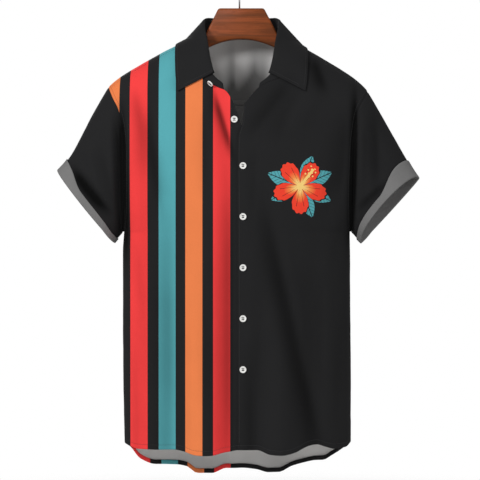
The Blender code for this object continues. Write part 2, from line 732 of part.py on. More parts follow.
def button_mesh():
    """A disc with four holes through it, its face towards +Z, in metres."""
    bm = bmesh.new()
    bmesh.ops.create_cone(bm, cap_ends=True, segments=16, radius1=BUTTON_RADIUS * MM,
                          radius2=BUTTON_RADIUS * MM, depth=BUTTON_THICK * MM)
    rims = [e for e in bm.edges if len(e.link_faces) == 2
            and abs(e.verts[0].co.z - e.verts[1].co.z) < 1e-6]
    bmesh.ops.bevel(bm, geom=rims, offset=RIM_BEVEL * MM, segments=1, affect="EDGES")
    disc = mesh_object("button_disc", bm)
    bm = bmesh.new()
    for turn in range(4):
        angle = math.radians(45 + 90 * turn)
        hole = bmesh.ops.create_cone(bm, cap_ends=True, segments=6, radius1=HOLE_RADIUS * MM,
                                     radius2=HOLE_RADIUS * MM, depth=3 * BUTTON_THICK * MM)
        reach = HOLE_REACH * MM
        bmesh.ops.translate(bm, verts=hole["verts"],
                            vec=(reach * math.cos(angle), reach * math.sin(angle), 0))
    holes = mesh_object("button_holes", bm)
    cut = disc.modifiers.new("holes", "BOOLEAN")
    cut.object = holes
    cut.operation = "DIFFERENCE"
    bpy.context.view_layer.update()
    shaped = disc.evaluated_get(bpy.context.evaluated_depsgraph_get())
    mesh = bpy.data.meshes.new_from_object(shaped)
    for spent in (disc, holes):
        bpy.data.objects.remove(spent)
    return mesh


def mesh_object(name, bm):
    mesh = bpy.data.meshes.new(name)
    bm.to_mesh(mesh)
    bm.free()
    made = bpy.data.objects.new(name, mesh)
    bpy.context.scene.collection.objects.link(made)
    return made


def place_button(number, mesh, point, normal):
    """Lay a button on a point of cloth, just clear of it."""
    normal = unit(np.asarray(normal, float))
    centre = np.asarray(point) + normal * (BUTTON_THICK / 2 + SEAM_GAP)
    name = "button_%d" % number
    made = bpy.data.objects.new(name, mesh.copy())
    made.data.shade_smooth()
    made.data.set_sharp_from_angle(angle=math.radians(35))
    made.data.materials.clear()
    made.data.materials.append(material(name, "button"))
    made.location = [value * MM for value in centre]
    made.rotation_mode = "QUATERNION"
    made.rotation_quaternion = Vector(normal).to_track_quat("Z", "Y")
    bpy.context.scene.collection.objects.link(made)


def button_places():
    """A point and direction for each button, from the stand down."""
    places = [stand_button(), button_seat(*UNDER_BUTTON, under=True)]
    for number in range(5):
        places.append(button_seat(BUTTON_ACROSS, BUTTON_TOP + BUTTON_PITCH * number, False))
    return places


def stand_button():
    """The undone button at the stand's end hangs from its thread, nearly edge on."""
    point, normal = button_seat(*STAND_BUTTON, under=False)
    facing = unit(np.array(STAND_BUTTON_FACING))
    lean = math.acos(normal @ facing)
    rise = BUTTON_RADIUS * math.sin(lean) + SEAM_GAP * (1 - math.cos(lean))
    return point + normal * rise, facing


def button_seat(place, down, under):
    """Where a button's back rests on a front: at the cloth's highest point below it."""
    turns = np.radians(np.arange(0, 360, 45))
    places = np.append(place + BUTTON_RADIUS * np.cos(turns), place)
    downs = np.append(down + BUTTON_RADIUS * np.sin(turns), down)
    angles = angle_at(places, downs)
    arcs = body_arc(angles, downs)
    normals = body_normal(angles, arcs, FRONT)
    inset = lap_inset(angles, arcs)[:, None] if under else 0.0
    points = body_point(angles, arcs, FRONT) - normals * inset
    normal = unit(np.cross(points[0] - points[4], points[2] - points[6]))
    normal *= np.sign(normal @ normals[-1])
    height = ((points - points[-1]) @ normal).max()
    return points[-1] + normal * height, normal


# ---------------------------------------------------------------- hanger
WOOD_TOP = 72.0                     # down, of the flat top of the wood
WOOD_TOP_LEFT, WOOD_TOP_RIGHT = -37.0, 43.0
WOOD_NECK_REACH, WOOD_NECK_DOWN = 58.5, 108.0
ARM_REACH, ARM_CLEAR = 190.0, CLOTH + 2.6
ARM_NECK_HEIGHT, ARM_END_HEIGHT = 25.0, 15.0
ARCH_TOP = 126.5
WOOD_BEVEL = 3.5


def wood_outline():
    """Corners of the hanger's wood seen from the front, (across, down)."""
    reach = np.linspace(63.5, ARM_REACH, 9)
    right_top = [(NECK_CENTRE + r, RIDGE.at(NECK_CENTRE + r, "down") + ARM_CLEAR) for r in reach]
    left_top = [(NECK_CENTRE - r, RIDGE.at(NECK_CENTRE - r, "down") + ARM_CLEAR) for r in reach]
    height = np.linspace(ARM_NECK_HEIGHT, ARM_END_HEIGHT, len(reach))
    right_low = [(x, d + h) for (x, d), h in zip(right_top, height)]
    left_low = [(x, d + h) for (x, d), h in zip(left_top, height)]
    arch_foot = right_low[0][1]
    arch = []
    for part in np.linspace(-1, 1, 9)[1:-1]:
        arch.append((NECK_CENTRE + part * reach[0], ARCH_TOP + (arch_foot - ARCH_TOP) * part ** 2))
    shoulders = [(WOOD_TOP_LEFT, WOOD_TOP), (WOOD_TOP_RIGHT, WOOD_TOP),
                 (NECK_CENTRE + WOOD_NECK_REACH, WOOD_NECK_DOWN)]
    return (shoulders + right_top + right_low[::-1] + arch[::-1] + left_low
            + left_top[::-1] + [(NECK_CENTRE - WOOD_NECK_REACH, WOOD_NECK_DOWN)])


def hanger_wood():
    outline = wood_outline()
    count = len(outline)
    points = [(x, y, -d) for y in (-WOOD_THICK / 2, WOOD_THICK / 2) for x, d in outline]
    faces = [tuple(range(count)), tuple(reversed(range(count, 2 * count)))]
    faces += [(i, (i + 1) % count, count + (i + 1) % count, count + i) for i in range(count)]
    made = make_object("hanger_wood", points, faces, "wood")
    bevel = made.modifiers.new("eased edges", "BEVEL")
    bevel.width = WOOD_BEVEL * MM
    bevel.segments = 2
    bevel.limit_method = "ANGLE"
    bevel.angle_limit = math.radians(50)


def hook_route():
    """Centre line of the hook: from its tip over the top and down into the shank."""
    radius = HOOK_RADIUS + WIRE_RADIUS
    centre_down = HOOK_RADIUS
    route = []
    for degrees in np.arange(195, -76, -9):
        angle = math.radians(degrees)
        route.append((radius * math.cos(angle), centre_down - radius * math.sin(angle)))
    foot_across, foot_down = route[-1]
    for step in np.linspace(0, 1, 9)[1:]:
        ease = float(smooth_step(np.array(step)))
        route.append((foot_across * (1 - ease), foot_down + 8.0 * step))
    route.append((0.0, foot_down + 14))
    route.append((0.0, WOOD_TOP - SEAM_GAP))
    return route


def hanger_hook():
    curve = bpy.data.curves.new("hanger_hook", "CURVE")
    curve.dimensions = "3D"
    curve.bevel_depth = WIRE_RADIUS * MM
    curve.bevel_resolution = 2
    curve.use_fill_caps = True
    route = hook_route()
    spline = curve.splines.new("POLY")
    spline.points.add(len(route) - 1)
    for point, (x, down) in zip(spline.points, route):
        point.co = (x * MM, 0, -down * MM, 1)
    made = bpy.data.objects.new("hanger_hook", curve)
    bpy.context.scene.collection.objects.link(made)
    curve.materials.append(material("hanger_hook", "metal"))


# ---------------------------------------------------------------- the whole object
def sheet_of(grids, name, colour):
    sheet = Sheet()
    for grid in grids:
        sheet.patch(grid[0], grid[1])
    return sheet.solid(name, colour)


def build():
    for spare in list(bpy.data.objects):
        bpy.data.objects.remove(spare)
    front_right, front_left = front_panel(LEFT), front_panel(RIGHT)
    back = back_panel()
    yoke_left, yoke_right, yoke_behind = yoke_panel()
    sheet_of(front_right, "front_right", "striped_cloth")
    sheet_of(front_left, "front_left", "black_cloth")
    sheet_of(back, "back", "black_cloth")
    sheet_of([yoke_left, yoke_right, yoke_behind], "yoke", "black_cloth")
    points, faces = sleeve(LEFT, front_right, back, yoke_left, yoke_behind)
    make_object("sleeve_right", points, faces, "black_cloth")
    points, faces = sleeve(RIGHT, front_left, back, yoke_right, yoke_behind)
    make_object("sleeve_left", points, faces, "black_cloth")
    shares, seam, normals = collar_stations(*neckline(front_right, front_left, yoke_left,
                                                      yoke_right, yoke_behind))
    sheet_of([collar_stand(shares, seam, normals)], "collar_stand", "black_cloth")
    sheet_of([collar_leaf(shares, seam)], "collar_leaf", "black_cloth")
    mesh = button_mesh()
    for number, (point, normal) in enumerate(button_places(), start=1):
        place_button(number, mesh, point, normal)
    hanger_wood()
    hanger_hook()


build()
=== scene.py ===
# %% [markdown]
# # A short-sleeved shirt on a wooden hanger
# The solids of the shirt are already made, and they fix every size and place here.
# This lesson dresses them: each sewn panel becomes a thin sheet of cloth with its
# turned hems, seams, stitches and soft creases, and the buttons, the wood and the
# wire get their finish.  Lengths are in millimetres until a mesh is made, and
# heights are written as "down", the distance below the inside of the hook's top.

# %% The fixed frame
import math

import bmesh
import bpy
import numpy as np
from mathutils import Matrix, Vector, noise
from mathutils.bvhtree import BVHTree


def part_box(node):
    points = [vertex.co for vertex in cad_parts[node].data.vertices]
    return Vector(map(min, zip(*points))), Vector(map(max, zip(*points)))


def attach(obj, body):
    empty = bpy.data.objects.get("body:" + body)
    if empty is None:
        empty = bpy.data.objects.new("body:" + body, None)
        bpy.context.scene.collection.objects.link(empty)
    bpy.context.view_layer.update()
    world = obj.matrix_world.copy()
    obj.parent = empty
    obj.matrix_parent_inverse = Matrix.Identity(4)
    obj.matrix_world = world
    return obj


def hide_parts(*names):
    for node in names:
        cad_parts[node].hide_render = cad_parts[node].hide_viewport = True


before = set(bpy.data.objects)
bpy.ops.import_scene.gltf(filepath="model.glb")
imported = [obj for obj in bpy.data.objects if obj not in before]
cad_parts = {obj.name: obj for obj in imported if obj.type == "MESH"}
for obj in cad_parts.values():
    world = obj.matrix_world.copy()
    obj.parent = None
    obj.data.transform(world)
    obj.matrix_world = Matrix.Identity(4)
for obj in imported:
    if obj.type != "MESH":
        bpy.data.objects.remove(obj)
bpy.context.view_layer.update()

MM = 0.001
FRONT, BACK = -1.0, 1.0
LEFT, RIGHT = -1.0, 1.0

# %% [markdown]
# ## Camera
# The photograph looks straight at the shirt from far away, so the sides hardly
# converge.  A long lens 3.2 m in front of the shoulders gives the same view.

# %% Camera


def new_object(name, data):
    """A new object in the scene that shows the given data."""
    made = bpy.data.objects.new(name, data)
    bpy.context.scene.collection.objects.link(made)
    return made


eye = bpy.data.cameras.new("eye")
eye.lens, eye.sensor_width = 136.4, 36.0
camera = new_object("eye", eye)
camera.location = (0.0009, -3.2, -0.4794)
camera.rotation_euler = (math.radians(90), 0, 0)
bpy.context.scene.camera = camera
bpy.context.scene.view_settings.view_transform = "Standard"
print("camera: a lens of", round(eye.lens, 1), "mm")

# %% [markdown]
# ## Helpers for nodes
# A finish is a small net of nodes, and many of them do sums.  With these helpers a
# node and its inputs take one line, and an output can stand in a formula like a
# number, so that each finish reads like what it works out.

# %% Helpers for nodes


class Signal:
    """One output of a node, which can stand in a formula like a number."""

    def __init__(self, socket):
        self.socket, self.tree = socket, socket.id_data

    def __getitem__(self, key):
        """Another output of the same node."""
        return Signal(self.socket.node.outputs[key])

    def calc(self, operation, *others):
        """A sum of the given kind with this value and the others."""
        return node(self.tree, "Math", dict(enumerate((self, *others))), operation=operation)

    def __add__(self, other):
        return self.calc("ADD", other)

    def __sub__(self, other):
        return self.calc("SUBTRACT", other)

    def __mul__(self, other):
        return self.calc("MULTIPLY", other)

    def __truediv__(self, other):
        return self.calc("DIVIDE", other)

    def __gt__(self, other):
        return self.calc("GREATER_THAN", other)

    def __lt__(self, other):
        return self.calc("LESS_THAN", other)

    def __abs__(self):
        return self.calc("ABSOLUTE")


def fill(made, inputs):
    """Link or set the inputs of a node, given by name or by number."""
    for key, value in inputs.items():
        if isinstance(value, Signal):
            made.id_data.links.new(value.socket, made.inputs[key])
        else:
            made.inputs[key].default_value = value


def node(tree, kind, inputs, **settings):
    """A new node with its settings and inputs, returned as its first output."""
    made = tree.nodes.new("ShaderNode" + kind)
    for key, value in settings.items():
        setattr(made, key, value)
    fill(made, inputs)
    return Signal(made.outputs[0])


def stretched(place, factors):
    """A place with each of its three measures multiplied by its own factor."""
    return node(place.tree, "VectorMath", {0: place, 1: factors}, operation="MULTIPLY")


def spread(value, low, high, start=0.0, end=1.0, **settings):
    """What lies from start to end, spread over low to high."""
    return node(value.tree, "MapRange", {"Value": value, "From Min": start, "From Max": end,
                                         "To Min": low, "To Max": high}, **settings)


def new_material(name):
    """A new material, its tree, its shader and its node of places."""
    made = bpy.data.materials.new(name)
    made.use_nodes = True
    tree = made.node_tree
    return made, tree, tree.nodes["Principled BSDF"], node(tree, "TexCoord", {})


print("node helpers ready")

# %% [markdown]
# ## Light and floor
# A studio photograph of clothes has a white ground and soft light from the front,
# a little stronger from one side so that the folds show.  The world gives the even
# part, and four round area lights the rest.  A pale floor fades out to the white.

# %% Light and floor
WHITE, GROUND_LIGHT = (1, 1, 1, 1), 0.32
LIGHTS = (   # name, place, what it points at, size in metres, watts
    ("key", (-1.9, -2.4, 0.85), (0, 0, -0.45), 0.9, 59),
    ("front", (-0.5, -2.9, 1.1), (0, 0, -0.3), 0.9, 19),
    ("fill", (2.5, -1.7, -0.1), (0, 0, -0.45), 1.6, 17),
    ("rear", (-0.8, 2.6, 0.9), (0, 0, -0.45), 1.5, 25))
FLOOR_RADIUS, FLOOR_HEIGHT, FADE_START, FADE_END = 1.4, -1.05, 0.35, 1.35

world = bpy.data.worlds.new("white_studio")
bpy.context.scene.world = world
world.use_nodes = True
ground = world.node_tree.nodes["Background"]
fill(ground, {"Color": WHITE, "Strength": GROUND_LIGHT})
seen_ground = node(world.node_tree, "Background", {"Color": WHITE, "Strength": 1.0})
ray = node(world.node_tree, "LightPath", {})
choice = node(world.node_tree, "MixShader", {
    0: ray["Is Camera Ray"], 1: Signal(ground.outputs[0]), 2: seen_ground})
fill(world.node_tree.nodes["World Output"], {"Surface": choice})

for name, place, target, size, watts in LIGHTS:
    lamp = bpy.data.lights.new(name, "AREA")
    lamp.shape, lamp.size, lamp.energy = "DISK", size, watts
    made = new_object(name, lamp)
    made.location = place
    made.rotation_euler = (Vector(target) - Vector(place)).to_track_quat("-Z", "Y").to_euler()

bpy.ops.object.select_all(action="DESELECT")
bpy.ops.mesh.primitive_circle_add(vertices=96, radius=FLOOR_RADIUS, fill_type="NGON",
                                  location=(0, 0, FLOOR_HEIGHT))
floor = bpy.context.object
floor.name = "floor"
bpy.ops.object.transform_apply(location=True)
pale, net, paint, place = new_material("pale_floor")
floor.data.materials.append(pale)
flat_place = stretched(place["Object"], (1, 1, 0))
far = node(net, "VectorMath", {0: flat_place}, operation="LENGTH")["Value"]
fade = spread(far, 1, 0, FADE_START, FADE_END, interpolation_type="SMOOTHSTEP")
fill(paint, {"Base Color": (0.86, 0.86, 0.85, 1), "Roughness": 0.7, "Alpha": fade})
print("camera, lights and floor made")

# %% [markdown]
# ## Tables of the shirt's own measures
# A dressmaker works from tables of measures.  Each table here gives a curve: the
# width and depth of the body, the ridge of the shoulders, the neckline, the two
# front edges and the hem.  They are the measures that the solids were made from.

# %% Tables


class Table:
    """Rows under named columns, read between rows along a smooth curve."""

    def __init__(self, columns, rows):
        self.names, self.values = columns.split(), np.array(rows, float)

    def at(self, key, column):
        keys, heights = self.values[:, 0], self.values[:, self.names.index(column)]
        widths = np.diff(keys)
        rises = np.diff(heights) / widths
        slopes = np.concatenate(([rises[0]], np.zeros(len(rises) - 1), [rises[-1]]))
        same_way = rises[:-1] * rises[1:] > 0
        before, after = rises[:-1][same_way], rises[1:][same_way]
        slopes[1:-1][same_way] = 2 * before * after / (before + after)
        key = np.clip(np.asarray(key, float), keys[0], keys[-1])
        row = np.clip(np.searchsorted(keys, key) - 1, 0, len(widths) - 1)
        t = (key - keys[row]) / widths[row]
        start = heights[row] * (1 + 2 * t) + slopes[row] * widths[row] * t
        end = heights[row + 1] * (3 - 2 * t) - slopes[row + 1] * widths[row] * (1 - t)
        return start * (1 - t) ** 2 + end * t ** 2


UNDERARM = 466.0            # down
BODY = Table("down left right front back", [
    (80, -262, 262, 38, 38), (124, -262, 262, 45, 43), (165, -256, 256, 53, 48),
    (190, -243, 240, 58, 53), (212, -230, 229, 62, 57), (232, -221, 218, 65, 60),
    (252, -211, 207, 68, 62), (284, -203, 199, 71, 65), (320, -200, 195, 73, 68),
    (400, -200, 193, 76, 71), (452, -202, 194, 78, 73), (500, -205, 194.5, 78, 74),
    (600, -205, 195, 76, 74), (720, -204.5, 196, 75, 75), (840, -202, 196, 74, 76),
    (910, -201, 195, 74, 76)])
RIDGE = Table("across down", [
    (-262, 262), (-245, 233), (-234, 215), (-216, 198), (-189, 180), (-159, 163),
    (-133, 148.5), (-119, 141.5), (-64, 115), (3.5, 95), (69, 115), (113, 141),
    (126, 148.5), (150, 162.5), (179, 180), (205, 198), (223, 215), (233, 233), (256, 268)])
NECKLINE = {
    LEFT: Table("across down", [(-66, 198), (-47, 211), (-35.5, 216.5), (-26.5, 219.5),
                                (-19.5, 226), (-15, 234), (-12, 240)]),
    RIGHT: Table("across down", [(8.4, 245), (11.4, 241), (23, 226.4), (30.6, 218),
                                 (42, 210), (55, 204.5), (73, 198)])}
EDGES = Table("down under upper", [
    (237, -12.5, 9.5), (250, -7.5, 8), (277, 1.8, 5.2), (300, 11, -1.5), (335, 17, -3),
    (910, 18, -3)])
HEMS = Table("across front back", [
    (-205, 834, 834), (-193, 839, 846), (-177, 843, 868), (-150, 842.5, 880),
    (-113, 841, 881), (-96, 844, 885), (-76, 850, 899), (-50, 851, 899.5),
    (-22, 845, 889), (0, 841, 889), (30, 841.5, 892), (52, 849, 898), (72, 850.5, 897),
    (94, 847, 885), (120, 836, 876), (134, 833.5, 873), (150, 838, 872),
    (166, 842, 862), (186, 841, 846), (196, 834, 834)])
print("tables read:", round(float(BODY.at(UNDERARM, "front")), 1), "mm deep at the underarm")

# %% [markdown]
# ## Folds and creases
# Cloth that hangs from a hanger falls in long soft folds that grow towards the
# hem, and thin creases run down from the shoulders and the armholes.  Each one is
# placed: where it starts and ends, how wide it is and how high.  No two
# are alike, and the back, which the photograph doesn't show, has its own.  The
# same kind of rows say where shade is painted into the cloth's colour: painted
# shade in troughs, along the armholes, beside the collar and inside the neck.

# %% Folds and creases
FOLDS = (    # side, across at top and foot, down at top, full and foot, width, height
    (FRONT, -160, -176, 190, 420, 930, 15, -7), (FRONT, -140, -138, 420, 700, 930, 20, 5),
    (FRONT, -48, -22, 215, 280, 360, 13, -4), (FRONT, -30, -31, 360, 620, 930, 17, -8),
    (FRONT, -84, -66, 420, 760, 930, 22, 8), (FRONT, 40, 31, 480, 760, 930, 14, -6),
    (FRONT, 80, 74, 430, 760, 930, 23, 9), (FRONT, 128, 122, 400, 700, 930, 17, -9),
    (FRONT, 160, 163, 450, 760, 930, 17, 6), (BACK, -150, -150, 430, 700, 940, 17, 6),
    (BACK, -112, -112, 330, 700, 940, 18, -9), (BACK, -66, -62, 300, 700, 940, 24, 10),
    (BACK, -12, -14, 360, 700, 940, 18, -8), (BACK, 58, 62, 300, 700, 940, 24, 9),
    (BACK, 116, 118, 330, 700, 940, 19, -9), (BACK, 156, 154, 430, 700, 940, 15, 5))
CREASES = (  # side, start across and down, end across and down, bow, width, height
    (FRONT, -187, 205, -158, 330, 4, 9, -2.4), (FRONT, -160, 225, -132, 440, -6, 10, -2.2),
    (FRONT, -178, 300, -150, 470, 5, 12, 1.6), (FRONT, -121, 170, -100, 300, 3, 9, -1.2),
    (FRONT, -50, 222, -14, 345, 3, 8, -2.6), (FRONT, -92, 235, -70, 420, -4, 12, 1.4),
    (FRONT, -184, 470, -168, 640, 4, 9, -1.8), (FRONT, -118, 520, -110, 820, -4, 12, -1.8),
    (FRONT, -60, 560, -52, 800, 4, 10, -1.5), (FRONT, 112, 205, 60, 330, -8, 16, -3.0),
    (FRONT, 201, 190, 190, 520, 3, 6, -7.0), (FRONT, 150, 210, 96, 300, -5, 14, 2.0),
    (FRONT, 172, 250, 140, 470, 8, 12, -2.6),
    (FRONT, 180, 420, 150, 560, -5, 11, 2.0), (FRONT, 26, 300, 20, 470, 2, 9, -1.5),
    (FRONT, 34, 390, 150, 900, 0, 14, -3.4), (FRONT, 62, 390, 150, 820, 0, 12, 2.0),
    (FRONT, 176, 600, 170, 800, 2, 9, -2.0), (FRONT, 142, 520, 146, 800, -3, 9, -1.6),
    (BACK, -176, 300, -120, 470, -8, 12, -2.8), (BACK, -150, 262, -96, 400, 5, 14, 2.0),
    (BACK, 172, 300, 118, 480, 8, 12, -2.8), (BACK, 150, 262, 92, 390, -5, 15, 2.2),
    (BACK, -84, 262, -74, 420, 3, 10, -2.0), (BACK, 30, 250, 26, 520, -4, 12, -2.2),
    (BACK, 82, 262, 84, 430, 3, 10, -1.8), (BACK, -40, 420, -38, 760, 4, 12, 2.2),
    (BACK, 90, 520, 92, 820, -4, 12, -2.2), (BACK, -170, 520, -176, 820, 3, 10, -2.0),
    (BACK, 176, 540, 178, 820, -3, 10, -1.8), (BACK, -92, 560, -88, 840, 3, 9, -1.8))
# painted shade: each row darkens the cloth's colour along a line where shadow falls, in folds, along
# the armholes and beside the collar's leaf
PAINTED_SHADES = (   # as the creases, with how much darker the cloth is instead of a height
    (FRONT, -186, 200, -164, 400, 3, 11, 0.24), (FRONT, -160, 225, -128, 470, -3, 10, 0.24),
    (FRONT, -150, 300, -126, 420, 2, 12, 0.12), (FRONT, -126, 320, -126, 1120, 0, 20, 0.36),
    (FRONT, -19, 270, -19, 1010, 0, 11, 0.48), (FRONT, -32, 240, -30, 1060, 0, 22, 0.05),
    (FRONT, -53, 196, -2, 364, 0, 7, 0.66), (FRONT, -64, 240, -62, 420, 3, 7, 0.12),
    (FRONT, -206, 215, -199, 560, 3, 8, 1.6), (FRONT, 201, 180, 191, 550, 3, 6, 1.4),
    (FRONT, -300, 342, -214, 444, -3, 9, 1.2), (FRONT, 198, 438, 268, 372, 3, 7, 0.5),
    (FRONT, 232, 240, 236, 410, 3, 9, 0.45), (FRONT, 124, 150, 150, 235, 0, 12, 0.7),
    (FRONT, -184, 620, -182, 1000, 3, 7, 0.10), (FRONT, -90, 560, -89, 960, -3, 8, 0.07),
    (FRONT, 19, 330, 171, 1000, 0, 17, 0.42), (FRONT, 14, 640, 20, 1000, 0, 12, 0.3),
    (FRONT, 100, 184, 2, 316, 0, 13, 0.34), (FRONT, 180, 240, 160, 430, 8, 9, 0.3),
    (FRONT, -250, 300, -216, 460, 4, 10, 0.2))
# painted shade on the reverse: darker down the middle inside the neck, in narrow bands, in a band
# across the yoke and along the hem
INSIDE_PAINTED_SHADES = (    # the same for the reverse, which shows inside the neck
    (BACK, 4, 175, 4, 430, 0, 38, 0.9), (BACK, -14, 108, -12, 262, 0, 8, 0.3),
    (BACK, 26, 118, 24, 262, 0, 10, 0.16), (BACK, -400, 205, 400, 205, 0, 60, 0.4),
    (BACK, 38, 102, 42, 266, 0, 27, 0.48), (BACK, -900, 885, 900, 885, 0, 60, 0.36))
# the most painted shade that the face and the reverse take, and the painted shade for each
# millimetre that a fold or crease sinks
DARKEST_FACE, DARKEST_REVERSE, FOLD_SHADE, CREASE_SHADE = 0.93, 0.86, 0.012, 0.05
FOLD_END = 60               # a fold fades out over so much above its foot
# how wide a mark is on either side of its line, and the shares of its length over
# which it fades in and out
BODY_FADE, SLEEVE_FADE = (0.7, 1.25, 0.35, 0.4), (0.75, 1.2, 0.3, 0.5)


def smooth_step(value):
    value = np.clip(value, 0, 1)
    return value * value * (3 - 2 * value)


def fold_height(place, down, side):
    """How far the long folds move the cloth out."""
    total = np.zeros(np.broadcast(place, down, side).shape)
    for on, top_across, foot_across, top, full, foot, width, height in FOLDS:
        centre = top_across + (foot_across - top_across) * (down - top) / (foot - top)
        growth = smooth_step((down - top) / (full - top)) * smooth_step((foot - down) / FOLD_END)
        total = total + height * growth * np.exp(-((place - centre) / width) ** 2) * (side == on)
    return total


def crease_height(place, down, side, rows=CREASES, fade=BODY_FADE):
    """The sum of soft marks, each along its own bowed line, that fade at both ends."""
    narrow, wide, start, end = fade
    total = np.zeros(np.broadcast(place, down, side).shape)
    for on, x0, d0, x1, d1, bow, width, height in rows:
        length = math.hypot(x1 - x0, d1 - d0)
        run = ((place - x0) * (x1 - x0) + (down - d0) * (d1 - d0)) / length ** 2
        off = ((place - x0) * (d1 - d0) - (down - d0) * (x1 - x0)) / length
        off = off - 4 * bow * run * (1 - run)
        off = off / (width * np.where(off > 0, narrow, wide))
        ends = smooth_step(run / start) * smooth_step((1 - run) / end)
        total = total + height * ends * np.exp(-off ** 2) * (side == on)
    return total


def painted_shade_values(points):
    """Painted shade of face and reverse: in troughs, in the listed patches and inside the neck."""
    place, down, side = points[:, 0], -points[:, 2], np.where(points[:, 1] < 0, FRONT, BACK)
    # painted shade in the troughs: the deeper a fold or crease sinks, the darker its colour
    painted_shade = np.maximum(-fold_height(place, down, side), 0) * FOLD_SHADE
    painted_shade += np.maximum(-crease_height(place, down, side), 0) * CREASE_SHADE
    return {"face_painted_shade": np.clip(painted_shade + crease_height(place, down, side, PAINTED_SHADES), 0, DARKEST_FACE),
            "reverse_painted_shade": np.clip(crease_height(place, down, side, INSIDE_PAINTED_SHADES),
                                    0, DARKEST_REVERSE)}


print(len(FOLDS), "folds and", len(CREASES), "creases")

# %% [markdown]
# ## The surface that the panels are cut from
# The body hangs as one tube.  A place on it is an angle round the tube and a
# distance along the cloth from the shoulder's ridge, so that rows run evenly over
# the shoulder, where plain height would bunch them.

# %% The body's surface
RIDGE_ROUND, ARMHOLE_TOP, ARMHOLE_WIDTH, RIDGE_GUESS = 60.0, 190, 0.62, 150
ANGLE_STEP, ARC_STEP = 0.006, 0.5    # steps to either side that give a direction


def mix(start, end, amount):
    return start + (end - start) * amount


def unit(vectors):
    return vectors / np.linalg.norm(vectors, axis=-1, keepdims=True)


def edge_angle(down):
    """Angle of the side seam, and above the underarm of the armhole's edge."""
    reach = np.clip((np.asarray(down, float) - ARMHOLE_TOP) / (UNDERARM - ARMHOLE_TOP), 0, 1)
    return np.arccos(ARMHOLE_WIDTH * np.sqrt(1 - reach ** 4))


def across(angle, down):
    """Place across of an angle at a height; angle_at goes the other way."""
    left, right = BODY.at(down, "left"), BODY.at(down, "right")
    return (left + right) / 2 + (right - left) / 2 * np.sin(angle) / np.sin(edge_angle(down))


def angle_at(place, down):
    left, right = BODY.at(down, "left"), BODY.at(down, "right")
    reach = (2 * place - left - right) / (right - left)
    return np.arcsin(np.clip(reach * np.sin(edge_angle(down)), -1, 1))


def arc_to_drop(arc):
    """How far a distance along the cloth lies below the ridge; drop_to_arc goes back."""
    turn = np.minimum(np.abs(arc) / RIDGE_ROUND, math.pi / 2)
    return RIDGE_ROUND * (1 - np.cos(turn)) + np.abs(arc) - turn * RIDGE_ROUND


def drop_to_arc(drop):
    turn = np.arccos(np.clip(1 - drop / RIDGE_ROUND, 0, 1))
    return RIDGE_ROUND * turn + np.maximum(drop - RIDGE_ROUND, 0)


def body_depth(place, down, level, side, creased=True):
    """How far the cloth stands out before or behind the middle."""
    depth = np.where(side == FRONT, BODY.at(down, "front"), BODY.at(down, "back"))
    lift = fold_height(place, down, side) * level ** 2
    if creased:
        lift = lift + crease_height(place, down, side) * level
    return depth * level + lift


def body_point(angle, arc, side):
    """Point of the cloth's face at an angle and a distance from the shoulder's ridge."""
    angle, arc, side = np.broadcast_arrays(*(np.asarray(v, float) for v in (angle, arc, side)))
    side = np.where(arc < 0, -side, side)
    drop = arc_to_drop(arc)
    down = RIDGE_GUESS + drop
    for _ in range(24):
        down = (down + RIDGE.at(across(angle, down), "down") + drop) / 2
    place = across(angle, down)
    turn = np.minimum(np.abs(arc) / RIDGE_ROUND, math.pi / 2)
    out = body_depth(place, down, np.cos(angle), side) * np.sin(turn)
    return np.stack([place, side * out, -down], axis=-1)


def body_arc(angle, down):
    """Distance from the ridge along the cloth of a place at a height."""
    return drop_to_arc(np.maximum(down - RIDGE.at(across(angle, down), "down"), 0))


def body_normal(angle, arc, side):
    """Outward direction of the cloth's face."""
    over, along = (body_point(angle + turn, arc + step, side)
                   - body_point(angle - turn, arc - step, side)
                   for turn, step in ((ANGLE_STEP, 0), (0, ARC_STEP)))
    return unit(np.cross(over, along)) * side


print("middle of the chest:", body_point(0, 250, FRONT).round(1))

# %% [markdown]
# ## Weave and mottle
# Printed polyester has a fine plain weave, a faint sheen and no gloss.  Its threads
# and its broad, faint changes of tone are groups of nodes, so that every cloth
# shares them.  The weave follows each sheet's own map, measured in metres along the
# cloth.

# %% Weave and mottle
THREADS = 1900.0            # threads in a metre
RELIEF = 1.5                # the most that a thread and its unevenness rise


def new_group(name, inputs, outputs):
    """A new group of nodes, its given values and its node of results."""
    group = bpy.data.node_groups.new(name, "ShaderNodeTree")
    for way, sockets in (("INPUT", inputs), ("OUTPUT", outputs)):
        for label, kind in sockets.items():
            group.interface.new_socket(name=label, in_out=way, socket_type="NodeSocket" + kind)
    given = group.nodes.new("NodeGroupInput")
    return group, Signal(given.outputs[0]), group.nodes.new("NodeGroupOutput")


def clouds(place, scale, detail):
    """Soft uneven noise from 0 to 1."""
    return node(place.tree, "TexNoise", {"Vector": place, "Scale": scale, "Detail": detail})


def weave_group():
    """Plain weave: threads across pass over and under the threads along."""
    group, given, out = new_group("plain_weave", {"Map": "Vector", "Slub": "Float"},
                                  {"Height": "Float", "Tone": "Float"})
    apart = node(group, "SeparateXYZ", {0: given["Map"]})
    turns = [apart[axis] * (math.pi * THREADS) for axis in "XY"]
    warp, weft = (abs(turn.calc("COSINE")) for turn in turns)
    crossing = turns[0].calc("SINE") * turns[1].calc("SINE")
    crown = node(group, "Mix", {"Factor": crossing > 0.0, "A": warp, "B": weft})
    height = crown + clouds(given["Map"], scale=260.0, detail=3.0) * given["Slub"]
    # painted shade: the tone follows the threads' height, darker in the valleys between them and
    # lighter on their crowns and slubs
    fill(out, {"Height": height, "Tone": spread(height, 0.93, 1.05, end=RELIEF)})
    return group


